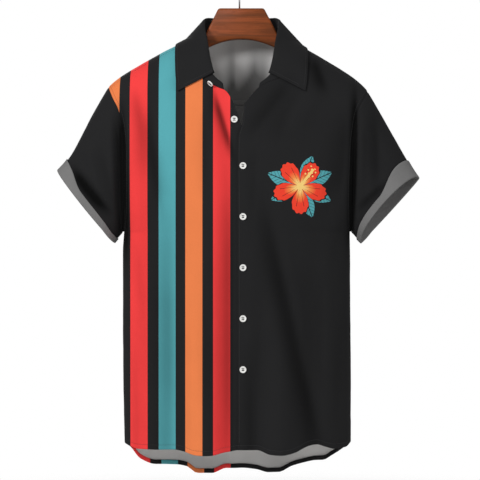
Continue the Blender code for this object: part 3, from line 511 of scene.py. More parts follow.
def mottle_group():
    """Broad, faint changes of tone, as pressing and handling leave."""
    group, given, out = new_group("mottle", {"Place": "Vector", "Amount": "Float"},
                                  {"Tone": "Float"})
    centred = clouds(given["Place"], scale=14.0, detail=2.0) - 0.5
    fill(out, {"Tone": centred * given["Amount"] + 1.0})
    return group


WEAVE, MOTTLE = weave_group(), mottle_group()
print("node groups:", WEAVE.name, MOTTLE.name)

# %% [markdown]
# ## Printed colours
# The stripes are one row of colours across the cloth.  A colour ramp with hard
# steps holds them, read by the place across in metres, because they are printed
# straight down.  The black is not quite black, because black dye on polyester still
# returns some light.

# %% Stripes
BLACK = (0.0148, 0.0148, 0.0155, 1)
RED, TEAL, ORANGE = (0.87, 0.052, 0.052, 1), (0.09, 0.37, 0.41, 1), (0.79, 0.21, 0.068, 1)
STRIPE_EDGES = (            # where each colour ends, in millimetres across
    (-240, BLACK), (-209, ORANGE), (-190.8, BLACK), (-160.3, RED), (-140.5, BLACK),
    (-111.5, TEAL), (-94.3, BLACK), (-64.6, ORANGE), (-46.6, BLACK), (-16.3, RED),
    (40, BLACK))
STRIPE_START, STRIPE_END = -300.0, 60.0


def ramp(value, steps, way="LINEAR"):
    """Colours by a value: each step is a value from 0 to 1 and the colour there."""
    made = node(value.tree, "ValToRGB", {0: value})
    colours = made.socket.node.color_ramp
    colours.interpolation = way
    stops = colours.elements
    stops[0].position, stops[1].position = steps[0][0], steps[-1][0]
    for step, _ in steps[1:-1]:
        stops.new(step)
    for stop, (_, colour) in zip(stops, steps):
        stop.color = colour
    return made


def stripe_group():
    group, given, out = new_group("stripes", {"Place": "Vector"}, {"Colour": "Color"})
    apart = node(group, "SeparateXYZ", {0: given["Place"]})
    share = spread(apart["X"], 0.0, 1.0, STRIPE_START * MM, STRIPE_END * MM)
    steps = [(0.0, STRIPE_EDGES[0][1])]
    for (end, _), (_, colour) in zip(STRIPE_EDGES, STRIPE_EDGES[1:]):
        steps.append(((end - STRIPE_START) / (STRIPE_END - STRIPE_START), colour))
    fill(out, {"Colour": ramp(share, steps + [(1.0, BLACK)], "CONSTANT")})
    return group


STRIPES = stripe_group()
print("stripes:", len(STRIPE_EDGES), "bands")

# %% [markdown]
# ## The printed flower
# A print sits on the wearer's left chest.  This one is a plain five-petalled
# flower with leaves.  Folding the angle round its middle into one fifth of a turn
# draws all five petals from the shape of one.

# %% The printed flower
FLOWER_CENTRE, FLOWER_SIZE = (104.5, -387.0), 61.0
LEAVES = ((24, 1.0), (68, 0.94), (158, 1.0), (205, 0.92), (292, 0.95), (335, 0.98))
LEAF_WIDTH, LEAF_RIBS, RIB, VEIN = 0.2, 26.0, 0.16, 0.012
PETAL_SIZE, PETAL_TURN, RUFFLES, RUFFLE_DEEP, DARK_RIM = 0.8, 18, 34.0, 0.022, 0.05
VEIN_ASIDE, VEIN_END, PETAL_GAP = 0.19, 0.72, 0.035
STEM_TURN, STEM_WIDE, STEM_LONG, DISC = 52, 0.035, 0.62, 0.1
POLLEN_WIDE, POLLEN_START, POLLEN_END, POLLEN_GRAINS = 0.14, 0.34, 0.66, 46.0
BLUSH = ((0.2, (0.93, 0.6, 0.2, 1)), (0.4, (0.86, 0.24, 0.062, 1)),
         (0.62, (0.84, 0.055, 0.028, 1)))
GOLD, FIFTH = (0.91, 0.62, 0.2, 1), 2 * math.pi / 5


def round_flower(place, size, turn):
    """Place, distance and angle round the flower's middle, in units of a size."""
    moved = node(place.tree, "Mapping", {
        "Vector": place, "Location": (FLOWER_CENTRE[0] * MM, 0, FLOWER_CENTRE[1] * MM),
        "Rotation": (0, -math.radians(turn), 0), "Scale": (size * MM,) * 3},
        vector_type="TEXTURE")
    apart = node(place.tree, "SeparateXYZ", {0: moved})
    x, z = apart["X"], apart["Z"]
    return x, z, (x * x + z * z).calc("SQRT"), z.calc("ARCTAN2", x)


def between(value, low, high):
    return (value > low) * (value < high)


def painted(under, colour, mask):
    """One colour laid over another where the mask is 1, by a colour mix's own sockets."""
    return node(mask.tree, "Mix", {0: mask, 6: under, 7: colour}, data_type="RGBA")[2]


def leaf_mask(place, turn, length):
    """1 inside a pointed leaf that grows from the flower's middle at an angle."""
    x, z, _, _ = round_flower(place, FLOWER_SIZE * length, turn)
    bulge = (x.calc("MAXIMUM", 0.0001).calc("POWER", 1.25) * math.pi).calc("SINE")
    inside = (abs(z) < bulge * LEAF_WIDTH) * between(x, 0.0, 1.0)
    ribs = abs(((x - abs(z)) * LEAF_RIBS).calc("SINE")) > RIB
    return inside * ((abs(z) > VEIN) * ribs)


def with_petals(colour, place):
    """Five ruffled petals with a dark rim, two veins each and gaps between them."""
    _, _, reach, angle = round_flower(place, FLOWER_SIZE * PETAL_SIZE, PETAL_TURN)
    folded = angle.calc("FLOORED_MODULO", FIFTH) - FIFTH / 2
    lobe = (folded * 2.5).calc("COSINE").calc("POWER", 0.42)
    ruffle = (folded * RUFFLES).calc("SINE") * RUFFLE_DEEP
    rim = lobe * 0.96 + ruffle
    colour = painted(colour, BLACK, reach < rim + DARK_RIM)
    vein = abs(abs(folded) - VEIN_ASIDE) > VEIN
    veined = vein.calc("MAXIMUM", reach > VEIN_END)
    gap = abs(folded) < FIFTH / 2 - PETAL_GAP
    return painted(colour, ramp(reach / rim, BLUSH), (reach < rim) * (veined * gap))


def with_heart(colour, place):
    """The golden disc in the middle and the pollen stem that leans out of it."""
    x, z, reach, _ = round_flower(place, FLOWER_SIZE, STEM_TURN)
    stem = (abs(z) < STEM_WIDE) * between(x, 0.0, STEM_LONG)
    dots = (x * POLLEN_GRAINS).calc("SINE") * (z * POLLEN_GRAINS).calc("SINE") > 0.45
    anthers = dots * ((abs(z) < POLLEN_WIDE) * between(x, POLLEN_START, POLLEN_END))
    gold = stem.calc("MAXIMUM", anthers).calc("MAXIMUM", reach < DISC)
    return painted(colour, GOLD, gold)


def flower_group():
    group, given, out = new_group("printed_flower", {"Place": "Vector"}, {"Colour": "Color"})
    place, colour = given["Place"], BLACK
    for turn, length in LEAVES:
        colour = painted(colour, TEAL, leaf_mask(place, turn, length))
    fill(out, {"Colour": with_heart(with_petals(colour, place), place)})
    return group


FLOWER = flower_group()
print("flower print:", len(FLOWER.nodes), "nodes")

# %% [markdown]
# ## Cloth materials
# Each sheet has two: the printed face, and the unprinted reverse, which is grey
# where the dye only just comes through.  Inside the body the reverse is painted far
# paler than at the cuffs, painted light for its shaded inside, and both take the
# painted shade that each mesh stores.  The crowns of the threads are a little
# smoother than the valleys between them.

# %% Cloth materials
SLUB, WEAVE_BUMP, WEAVE_DEEP, ROUGH, SMOOTH = 0.5, 0.10, 0.0003, 0.9, 0.78
FACE_MOTTLE, REVERSE_MOTTLE = 0.16, 0.3


def toned(colour, tone):
    """A colour times a tone."""
    return node(tone.tree, "VectorMath", {0: colour, "Scale": tone}, operation="SCALE")


def cloth_material(name, colour, painted_shading="face_painted_shade", mottle=FACE_MOTTLE):
    """Woven cloth with one colour, or with the colours of a printed group."""
    made, tree, shader, place = new_material(name)
    weave = node(tree, "Group", {"Map": place["UV"], "Slub": SLUB}, node_tree=WEAVE)
    broad = node(tree, "Group", {"Place": place["Object"], "Amount": mottle}, node_tree=MOTTLE)
    if isinstance(colour, bpy.types.NodeTree):
        colour = node(tree, "Group", {"Place": place["Object"]}, node_tree=colour)
    else:
        colour = colour[:3]
    # painted shade: the colour is darkened by the painted shade stored on the mesh
    painted_shade = node(tree, "Attribute", {}, attribute_name=painted_shading)["Fac"]
    light = node(tree, "Math", {0: 1.0, 1: painted_shade}, operation="SUBTRACT")
    raised = node(tree, "Bump", {"Strength": WEAVE_BUMP, "Distance": WEAVE_DEEP,
                                 "Height": weave["Height"]})
    fill(shader, {"Base Color": toned(colour, weave["Tone"] * broad * light),
                  "Roughness": spread(weave["Height"], ROUGH, SMOOTH, end=RELIEF),
                  "Normal": raised, "Sheen Weight": 0.02, "Sheen Roughness": 0.45,
                  "Specular IOR Level": 0.1})
    return made


STRIPED = cloth_material("striped_face", STRIPES)
PRINTED = cloth_material("flowered_face", FLOWER)
PLAIN = cloth_material("black_face", BLACK)
# painted light: the body's reverse is far paler than the same cloth at the cuffs, so that the shaded
# inside of the neck and hem looks lit
LIGHTENED_REVERSE = cloth_material("lightened_grey_reverse", (0.85, 0.84, 0.83), "reverse_painted_shade", REVERSE_MOTTLE)
CUFF_REVERSE = cloth_material("cuff_reverse", (0.18, 0.178, 0.177), "reverse_painted_shade",
                              REVERSE_MOTTLE)
print("cloth materials:", STRIPED.name, PRINTED.name, PLAIN.name, LIGHTENED_REVERSE.name)

# %% [markdown]
# ## Making a sheet
# A panel is a grid of points on the cloth's face.  Its edges sink a little where
# they are sewn, so that two pieces meet in a narrow valley.  Solidify then gives
# the cloth its thickness towards the inside and its second material there.

# %% Making a sheet
THICK, VALLEY, VALLEY_REACH = 0.9, 0.8, 1.5
UNEVEN, BROAD_BUMPS, SMALL_BUMPS, SMALL_SHARE = 0.35, 38, 13, 0.35
MERGE = 0.00001             # points that lie closer, in metres, become one


def sunk(points, normals, edges):
    """Sink the named edges of a grid: low and high rows, left and right columns."""
    ends = {"low": points[:1], "high": points[-1:], "left": points[:, :1],
            "right": points[:, -1:]}
    sink = np.zeros(points.shape[:2])
    for edge in edges.split():
        away = np.linalg.norm(points - ends[edge], axis=-1)
        sink = np.maximum(sink, VALLEY * np.exp(-(away / VALLEY_REACH) ** 2))
    return points - normals * sink[..., None]


def uneven(points, normals, amount=UNEVEN):
    """The small unevenness that no hanging cloth is without."""
    lift = [noise.noise(Vector(p / BROAD_BUMPS))
            + SMALL_SHARE * noise.noise(Vector(p / SMALL_BUMPS)) for p in points.reshape(-1, 3)]
    return points + normals * (amount * np.array(lift).reshape(points.shape[:2] + (1,)))


def lengths(points, foot=None):
    """Distances along the cloth, across and up the grid, for its map."""
    across_steps = np.linalg.norm(np.diff(points, axis=1), axis=-1)
    up_steps = np.linalg.norm(np.diff(points, axis=0), axis=-1)
    u = np.pad(np.cumsum(across_steps, axis=1), ((0, 0), (1, 0)))
    v = np.pad(np.cumsum(up_steps, axis=0), ((1, 0), (0, 0)))
    if foot is not None:
        u, v = u + foot[0, 0], v + foot[:, 1]
    return np.stack([u, v], axis=-1)


def patch(grid, edges, foot=None):
    """A grid's finished points, its normals and its map."""
    points, normals = grid
    return [uneven(sunk(points, normals, edges), normals), normals, lengths(points, foot)]


def stacked(grids, edges):
    """Patches one above the other, whose maps go on from the right end of the one below."""
    patches = [patch(grids[0], edges[0])]
    for grid, sewn in zip(grids[1:], edges[1:]):
        foot = patches[-1][2][-1]
        patches.append(patch(grid, sewn, foot[-grid[0].shape[1]:]))
    return patches


def grid_faces(grid, normals, start):
    """The four-sided faces of a grid, turned so that they look along its normals."""
    rows, columns = grid.shape[:2]
    ids = start + np.arange(rows * columns).reshape(rows, columns)
    quads = np.stack([ids[:-1, :-1], ids[:-1, 1:], ids[1:, 1:], ids[1:, :-1]], axis=-1)
    facing = np.cross(grid[:-1, 1:] - grid[:-1, :-1], grid[1:, :-1] - grid[:-1, :-1])
    if np.sum(facing * normals[:-1, :-1]) < 0:
        quads = quads[..., ::-1]
    return quads.reshape(-1, 4).tolist()


def cloth_object(name, patches, face, reverse, thick=THICK):
    """One mesh from patches of (points, normals, map), joined, with its thickness."""
    points, faces = [], []
    for grid, normals, _ in patches:
        faces += grid_faces(grid, normals, sum(len(part) for part in points))
        points.append(grid.reshape(-1, 3))
    mesh = bpy.data.meshes.new(name)
    mesh.from_pydata((np.vstack(points) * MM).tolist(), [], faces)
    corner = np.zeros(len(mesh.loops), int)
    mesh.loops.foreach_get("vertex_index", corner)
    chart = np.vstack([part[2].reshape(-1, 2) for part in patches])
    mesh.uv_layers.new(name="cloth_map").data.foreach_set("uv", (chart[corner] * MM).ravel())
    bm = bmesh.new()
    bm.from_mesh(mesh)
    bmesh.ops.remove_doubles(bm, verts=bm.verts, dist=MERGE)
    bm.to_mesh(mesh)
    bm.free()
    mesh.shade_smooth()
    # the painted shade of every point, stored for the cloth materials to darken their colour
    for label, painted_shading in painted_shade_values(np.array([v.co for v in mesh.vertices]) / MM).items():
        mesh.attributes.new(label, "FLOAT", "POINT").data.foreach_set("value", painted_shading)
    for finish in (face, reverse):
        mesh.materials.append(finish)
    made = new_object(name, mesh)
    wall = made.modifiers.new("thickness", "SOLIDIFY")
    wall.thickness, wall.offset = thick * MM, -1
    wall.material_offset = 1
    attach(made, "root")
    area = sum(p.area for p in mesh.polygons)
    print(f"{name}: {len(mesh.polygons)} faces, {area:.4f} m2 of cloth")
    return made


print("a sheet is", THICK, "mm thick")

# %% [markdown]
# ## Columns and rows
# Every panel is laid out on the same columns: 0 is the middle or the button edge,
# 1 the side of the neck and 2 the side seam.  Rows run up from the turned-up hem to
# the underarm, on to the neck, and over the shoulder.  They lie closer together
# where the cloth turns or is sewn.

# %% Columns and rows
NECK_SIDE = {LEFT: -66.0, RIGHT: 73.0}
STAND_START = {LEFT: 0.27, RIGHT: 0.38}
CORNER = np.union1d(np.concatenate((np.linspace(0, 1, 24), [0.008, 0.02])), [0.27, 0.38])
SHOULDER = 1 + np.append(np.linspace(0, 0.975, 32)[1:], [0.987, 0.994, 1])
SEWN_COLUMNS = slice(len(CORNER) - 1, None)    # from the side of the neck outwards
HEM_THICK = 2 * THICK + 0.4
HEM_ROWS = ((8, 1), (5.5, 1), (3, 1), (1.4, 1), (0.5, 0.86), (0, 0.5), (0.5, 0.14), (1.4, 0),
            (3, 0), (5.5, 0), (7.2, 0), (8.2, 0.12), (9.2, 0))   # height, share of thickness
SKIRT_STEPS, CHEST_STEPS, SHOULDER_STEPS, CLOSER = 84, 62, 44, 1.3
FRONT_SEAM, ALLOWANCE, ALLOWANCE_IN, ALLOWANCE_STEPS = 8.0, 9.0, THICK + 0.25, 5
LAP, LAP_START, LAP_WIDE, FIRST_DOWN = 3.4, -42, 24, 200.0


def column_angle(column, down, edge=None):
    """Angle of a column at a height, for the back or for one front edge."""
    hand = np.where(column < 0, LEFT, RIGHT)
    neck = np.where(column < 0, NECK_SIDE[LEFT], NECK_SIDE[RIGHT])
    if edge is None:
        inner = mix(NECK_SIDE[LEFT], NECK_SIDE[RIGHT], (column + 1) / 2)
    else:
        inner = mix(EDGES.at(down, edge), neck, np.abs(column))
    outer = mix(angle_at(neck, down), hand * edge_angle(down), np.abs(column) - 1)
    return np.where(np.abs(column) <= 1, angle_at(inner, down), outer)


def places_at(columns, down, edge=None):
    """Where the columns lie across at one height."""
    return across(column_angle(columns, np.full(columns.shape, down), edge), down)


def at_height(columns, downs, side, edge=None):
    """Places of the columns at given heights, as angles and distances from the ridge."""
    columns, downs = np.broadcast_arrays(columns, downs)
    angles = column_angle(columns, downs, edge)
    return angles, body_arc(angles, downs), side


def at_arc(columns, arcs, side, edge=None):
    """Places of the columns at given distances from the ridge, found in ten rounds."""
    columns, arcs = np.broadcast_arrays(columns, arcs)
    downs = np.full(columns.shape, FIRST_DOWN)
    for _ in range(10):
        angles = column_angle(columns, downs, edge)
        downs = (downs - body_point(angles, arcs, side)[..., 2]) / 2
    return angles, arcs, side


def cloth(angles, arcs, side, inset=0.0):
    """Face points and outward directions of a grid of places."""
    normal = body_normal(angles, arcs, side)
    inset = np.broadcast_to(inset, angles.shape)[..., None]
    return body_point(angles, arcs, side) - normal * inset, normal


def rows_between(start, end, steps):
    """Rows that lead from one row to another."""
    return mix(np.asarray(start), np.asarray(end), np.asarray(steps)[:, None])


def near_end(count, last=(0.985, 0.993, 1.0)):
    """Even steps from 0, with closer ones at the end."""
    return np.append(np.linspace(0, 2 * last[0] - 1, count), last)


def hem_and_skirt(hem):
    """Heights and insets from the top of the turned hem, round it and up to the underarm."""
    low = [hem - height for height, _ in HEM_ROWS]
    high = rows_between(low[-1], np.full(hem.shape, UNDERARM), np.linspace(0, 1, SKIRT_STEPS)[1:])
    insets = [share * HEM_THICK for _, share in HEM_ROWS] + [0.0] * (SKIRT_STEPS - 1)
    return np.vstack([low, high]), np.array(insets)[:, None]


def lap_inset(angles, arcs):
    """The under front drops back towards its edge to lie below the upper one."""
    place = body_point(angles, arcs, FRONT)[..., 0]
    return LAP * smooth_step((place - LAP_START) / LAP_WIDE)


print("columns of a front:", len(CORNER) + len(SHOULDER))

# %% [markdown]
# ## Fronts
# The left front is plain and laps over the striped right one, which carries the
# buttons.  Rows of the grid climb from the turned-up hem to the neck and the
# shoulder seam; columns run from the button edge out to the side seam.

# %% Fronts
FRONT_HEM, EDGE_TOP = 845.0, 237
CHEST_TOP, CHEST_DROP = 198, 95   # the chest's top row at the neck, and its drop outwards


def front_panel(hand):
    """The grids of a front: skirt, chest, shoulder, and the allowance under the yoke."""
    edge = "under" if hand == LEFT else "upper"
    columns = hand * np.concatenate((CORNER, SHOULDER))
    necks, sewn = len(CORNER), columns[SEWN_COLUMNS]
    downs, insets = hem_and_skirt(HEMS.at(places_at(columns, FRONT_HEM, edge), "front"))
    neck_places = mix(EDGES.at(EDGE_TOP, edge), NECK_SIDE[hand], np.abs(columns[:necks]))
    part = np.abs(columns[necks:]) - 1
    level = np.append(NECKLINE[hand].at(neck_places, "down"), CHEST_TOP + CHEST_DROP * part)
    chest_downs = rows_between(np.full(columns.shape, UNDERARM), level,
                               near_end(CHEST_STEPS) ** CLOSER)
    skirt = at_height(columns, downs, FRONT, edge)
    chest = at_height(columns, chest_downs, FRONT, edge)
    foot = chest[1][-1, SEWN_COLUMNS]
    seam = np.full(foot.shape, drop_to_arc(FRONT_SEAM))
    arcs = rows_between(foot, seam, near_end(SHOULDER_STEPS))
    shoulder = at_arc(sewn, arcs, FRONT, edge)
    shoulder[0][0] = chest[0][-1, SEWN_COLUMNS]
    grids = []
    for grid, inset in ((skirt, insets), (chest, 0.0), (shoulder, 0.0)):
        lap = lap_inset(grid[0], grid[1]) if hand == LEFT else 0.0
        grids.append(cloth(*grid, inset + lap))
    under = rows_between(arcs[-1], arcs[-1] - ALLOWANCE, np.linspace(0, 1, ALLOWANCE_STEPS))
    return grids + [cloth(*at_arc(sewn, under, FRONT, edge), ALLOWANCE_IN)]


def front_object(name, grids, face):
    patches = stacked(grids, ("right", "right", "right high", "right"))
    patches[1][0][-1, SEWN_COLUMNS] = patches[2][0][0]
    return cloth_object(name, patches, face, LIGHTENED_REVERSE)


front_right, front_left = front_panel(LEFT), front_panel(RIGHT)
right_cloth = front_object("front_right_cloth", front_right, STRIPED)
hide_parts("front_right")
left_cloth = front_object("front_left_cloth", front_left, PRINTED)
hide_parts("front_left")

# %% [markdown]
# ## Back and yoke
# The back hangs from a seam below the shoulders.  Above it the yoke goes over the
# ridge to a seam just in front of it.

# %% Back and yoke
BACK_MIDDLE = np.linspace(-1, 1, 31)
BACK_COLUMNS = np.concatenate((-SHOULDER[::-1], BACK_MIDDLE, SHOULDER))
BACK_HEM, YOKE_SEAM, YOKE_SEAM_DROP, HALF_BACK, BACK_NECK_DROP = 870.0, 238.0, 10.0, 230, 27.0
YOKE_ROWS, YOKE_STEPS = np.concatenate(([1, 0.98, 0.95], np.linspace(0.9, 0, 10))), 36


def yoke_seam(columns):
    """Height of the seam under the yoke, which drops a little towards the armholes."""
    return YOKE_SEAM + YOKE_SEAM_DROP * (places_at(columns, YOKE_SEAM) / HALF_BACK) ** 2


def back_panel():
    """The grids of the back: skirt, chest, and the allowance under the yoke."""
    columns, seam = BACK_COLUMNS, yoke_seam(BACK_COLUMNS)
    downs, insets = hem_and_skirt(HEMS.at(places_at(columns, BACK_HEM), "back"))
    chest = rows_between(np.full(columns.shape, UNDERARM), seam, near_end(CHEST_STEPS) ** CLOSER)
    allowance = rows_between(seam, seam - ALLOWANCE, np.linspace(0, 1, ALLOWANCE_STEPS))
    return [cloth(*at_height(columns, downs, BACK), insets),
            cloth(*at_height(columns, chest, BACK)),
            cloth(*at_height(columns, allowance, BACK), ALLOWANCE_IN)]


def yoke_panel():
    """The grids of the yoke: left and right of the neck before the ridge, and behind it."""
    columns = BACK_COLUMNS
    arcs = (-drop_to_arc(FRONT_SEAM) * YOKE_ROWS)[:, None]
    neck = np.clip(1 - columns ** 2, 0, 1) * BACK_NECK_DROP
    foot = at_height(columns, yoke_seam(columns), BACK)[1]
    behind = rows_between(drop_to_arc(neck), foot, near_end(YOKE_STEPS))
    return [cloth(*at_arc(columns[columns <= -1], arcs, BACK)),
            cloth(*at_arc(columns[columns >= 1], arcs, BACK)),
            cloth(*at_arc(columns, behind, BACK))]


back = back_panel()
back_patches = stacked(back, ("left right", "left right high", "left right"))
back_cloth = cloth_object("back_cloth", back_patches, STRIPED, LIGHTENED_REVERSE)
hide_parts("back")
yoke_left, yoke_right, yoke_behind = yoke_panel()
yoke_patches = [patch(yoke_left, "low left"), patch(yoke_right, "low right"),
                patch(yoke_behind, "left right high")]
yoke_cloth = cloth_object("yoke_cloth", yoke_patches, STRIPED, LIGHTENED_REVERSE)
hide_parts("yoke")

# %% [markdown]
# ## Sleeves
# A sleeve is sewn all round the armhole, so its first ring is made from the
# armhole's own points.  Its mouth is turned up to the outside as a cuff, which
# shows the grey reverse: one sheet that goes down, round and up again.

# %% Sleeves
SLEEVE_SIZES = ("top_across", "top_down", "foot_across", "foot_down", "depth_front",
                "depth_back", "lean", "puff", "cuff")
SLEEVES = {LEFT: dict(zip(SLEEVE_SIZES, (-319, 357, -218, 483, 44, 40, -3, -5.8, 25))),
           RIGHT: dict(zip(SLEEVE_SIZES, (315, 371, 212, 484, 44, 44, 20, -1.5, 33)))}
BEND_END, SETTLED, CREASES_START, BACK_BULGE, SLEEVE_UNEVEN = 0.016, 0.12, 0.1, 4.5, 0.4
CUFF_MIDDLE, CUFF_FOOT, CUFF_OUT, CUFF_STEP = 12.0, 9.0, THICK + 0.35, 0.985
CUFF_ROWS, WALL_ROWS, NORMAL_STEP, TOO_CLOSE, ROOT_VALLEY = 9, 26, 0.03, 0.3, 2.0
CUFF_SHARE = 0.4            # of the mouth's height, where the cuff changes at either end
PUFF_LATE, PUFF_HIGH = 2.5, 1.2   # the puff grows towards the mouth and keeps to the top
TUCK_START, TUCK_SHARE = 0.8, 0.15   # where round the armhole the root bends outwards
ROOT_STEPS = (0, 0.004, 0.008, 0.012, 0.016, 0.022, 0.03, 0.045, 0.07, 0.1)
MOUTH_TURN = ((0.995, 0.06), (1.0, 0.3), (1.002, 0.6), (1.0, 0.9), (0.993, 1.0))
SLEEVE_CREASES = {   # the same columns as the body's creases
    LEFT: (
        (FRONT, -213, 215, -203, 540, 0, 6, -7.5), (FRONT, -226, 250, -218, 470, 0, 9, 3.5),
        (FRONT, -300, 342, -214, 444, 0, 9, -6.0), (FRONT, -268, 300, -238, 420, 0, 10, 3.0),
        (BACK, -210, 390, -270, 300, 0, 11, -4.0), (BACK, -216, 440, -296, 352, 0, 9, -3.2)),
    RIGHT: (
        (FRONT, 199, 225, 196, 530, 0, 5, -6.0), (FRONT, 212, 250, 210, 440, 0, 9, 3.0),
        (FRONT, 196, 434, 268, 368, 0, 8, -3.6), (FRONT, 231, 245, 234, 410, 0, 10, -3.5),
        (BACK, 204, 400, 262, 300, 0, 11, -4.0), (BACK, 210, 440, 288, 352, 0, 9, -3.2))}


def joined(runs):
    """One line from several, with a shared middle point where two of them meet."""
    run = runs[0]
    for other in runs[1:]:
        run = np.vstack([run[:-1], (run[-1] + other[0]) / 2, other[1:]])
    return run


def away_from_panel(points, normals, reference):
    """Directions in the cloth, square to its edge, on the side of the reference."""
    away = unit(np.cross(np.gradient(points, axis=0), normals))
    return away * np.sign(np.sum(away * reference, axis=1, keepdims=True))


def armhole(hand, front, back, yoke_before, yoke_behind):
    """Points and directions round the armhole, from the underarm over the shoulder."""
    end = -1 if hand == RIGHT else 0
    runs = []
    for part in (0, 1):
        up_front = np.vstack([front[1][part][:, -1], front[2][part][:, -1][1:]])
        over = np.vstack([yoke_before[part][:, end], yoke_behind[part][:, end][1:]])
        runs.append(joined([up_front, over, back[1][part][:, end][::-1]]))
    loop, normals = runs[0][:-1], unit(runs[1])[:-1]
    loop = np.vstack([(loop[0] + runs[0][-1]) / 2, loop[1:]])
    keep = np.append(True, np.linalg.norm(np.diff(loop, axis=0), axis=1) > TOO_CLOSE)
    return loop[keep], normals[keep]


def sleeve_mouth(hand, root):
    """Where each point of the armhole comes out at the mouth, and the sleeve's axis."""
    shape = SLEEVES[hand]
    top = np.array([shape["top_across"], 0, -shape["top_down"]])
    foot = np.array([shape["foot_across"], 0, -shape["foot_down"]])
    downs = -root[:, 2]
    share = (downs - downs.min()) / (downs.max() - downs.min())
    is_front = root[:, 1] < 0
    width = np.sqrt(np.clip(1 - (2 * share - 1) ** 2, 0, 1))
    axis = unit((top + foot) / 2 - root.mean(axis=0))
    mouth = mix(top, foot, share[:, None])
    mouth[:, 1] += np.where(is_front, -shape["depth_front"], shape["depth_back"]) * width
    lean = np.where(is_front, shape["lean"], -BACK_BULGE) * width
    return mouth - lean[:, None] * axis, axis


def cuff_edge(hand, root, mouth):
    """Step along the sleeve, point by point, where the turned-up cuff ends."""
    downs = -mouth[:, 2]
    share = (downs - downs.min()) / np.ptp(downs)
    height = mix(SLEEVES[hand]["cuff"], CUFF_MIDDLE, smooth_step(share / CUFF_SHARE))
    height = mix(height, CUFF_FOOT, smooth_step((share - 1 + CUFF_SHARE) / CUFF_SHARE))
    return 1 - height / np.linalg.norm(mouth - root, axis=1)


def sleeve_ring(form, steps):
    """Ring of the sleeve's face between the armhole (0) and the mouth (1)."""
    root, mouth, axis, puff = form
    ring = mix(root, mouth, steps[:, None])
    share = (ring[:, 2].max() - ring[:, 2]) / np.ptp(ring[:, 2])
    late = np.sin(math.pi * np.clip(steps, 0, 1) ** PUFF_LATE)
    puff = puff * late * smooth_step(1 - PUFF_HIGH * share)
    out = ring - ring.mean(axis=0)
    out -= np.outer(out @ axis, axis)
    bend = math.pi * np.clip(steps / BEND_END, 0, 1)
    bend_share = smooth_step((share - TUCK_START) / TUCK_SHARE)
    ring[:, 0] += np.sign(axis[0]) * (1 - np.cos(bend)) * bend_share
    ring[:, 2] += np.sin(bend) * bend_share
    return ring + puff[:, None] * unit(out)


def sleeve_normals(form, steps, root_normals):
    """Outward directions of a ring, which start as those of the armhole."""
    settled = np.maximum(steps, SETTLED)
    ring = sleeve_ring(form, settled)
    along = sleeve_ring(form, settled + NORMAL_STEP) - sleeve_ring(form, settled - NORMAL_STEP)
    normals = unit(np.cross(np.roll(ring, -1, axis=0) - np.roll(ring, 1, axis=0), along))
    normals *= np.sign(np.sum(normals * (ring - ring.mean(axis=0)), axis=1, keepdims=True))
    return unit(mix(root_normals, normals, np.minimum(steps / BEND_END, 1)[:, None]))


def sleeve_crease(hand, ring):
    """How far the sleeve's own creases move the points of a ring out."""
    side = np.where(ring[:, 1] < 0, FRONT, BACK)
    return crease_height(ring[:, 0], -ring[:, 2], side, SLEEVE_CREASES[hand], SLEEVE_FADE)


def sleeve_profile(edge):
    """Steps along the sleeve and distances out: down the wall, round and up the cuff."""
    same = np.ones(edge.shape)
    wall = [step * same for step in ROOT_STEPS]
    even = np.linspace(0, 1, WALL_ROWS + 1)[:-1]
    wall += [mix(SETTLED * same, edge, step) for step in even]
    band = [mix(edge, CUFF_STEP * same, step) for step in np.linspace(0, 1, CUFF_ROWS)]
    profile = [(steps, 0.0) for steps in wall + band]
    profile += [(step * same, out * CUFF_OUT) for step, out in MOUTH_TURN]
    return profile + [(steps, CUFF_OUT) for steps in reversed(band)]


def sleeve_grid(hand, root, normals):
    """The sleeve's points, directions and map, ring after ring."""
    mouth, axis = sleeve_mouth(hand, root)
    form = (root, mouth, axis, SLEEVES[hand]["puff"])
    span = np.linalg.norm(mouth - root, axis=1)
    rings, directions = [], []
    for steps, out in sleeve_profile(cuff_edge(hand, root, mouth)):
        ring, facing = sleeve_ring(form, steps), sleeve_normals(form, steps, normals)
        valley = -VALLEY * np.exp(-(steps * span / ROOT_VALLEY) ** 2)
        lift = sleeve_crease(hand, ring) * smooth_step(steps / CREASES_START)
        ring = ring + facing * (out + valley + lift)[:, None]
        rings.append(np.vstack([ring, ring[:1]]))
        directions.append(np.vstack([facing, facing[:1]]))
    grid, facing = np.array(rings), np.array(directions)
    return uneven(grid, facing, SLEEVE_UNEVEN), facing, lengths(grid)


sleeves = {}
for hand, name, front, before in ((LEFT, "sleeve_right", front_right, yoke_left),
                                  (RIGHT, "sleeve_left", front_left, yoke_right)):
    root, root_normals = armhole(hand, front, back, before, yoke_behind)
    sleeve = sleeve_grid(hand, root, root_normals)
    made = cloth_object(name + "_cloth", [sleeve], PLAIN, CUFF_REVERSE)
    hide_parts(name)
    sleeves[hand] = (made, sleeve)

# %% [markdown]
# ## Collar
# The collar has a stand, the band that rises from the neck seam, and a leaf that
# folds over it and ends in two points.  Both are double cloth, so they are thicker
# and black on both sides.

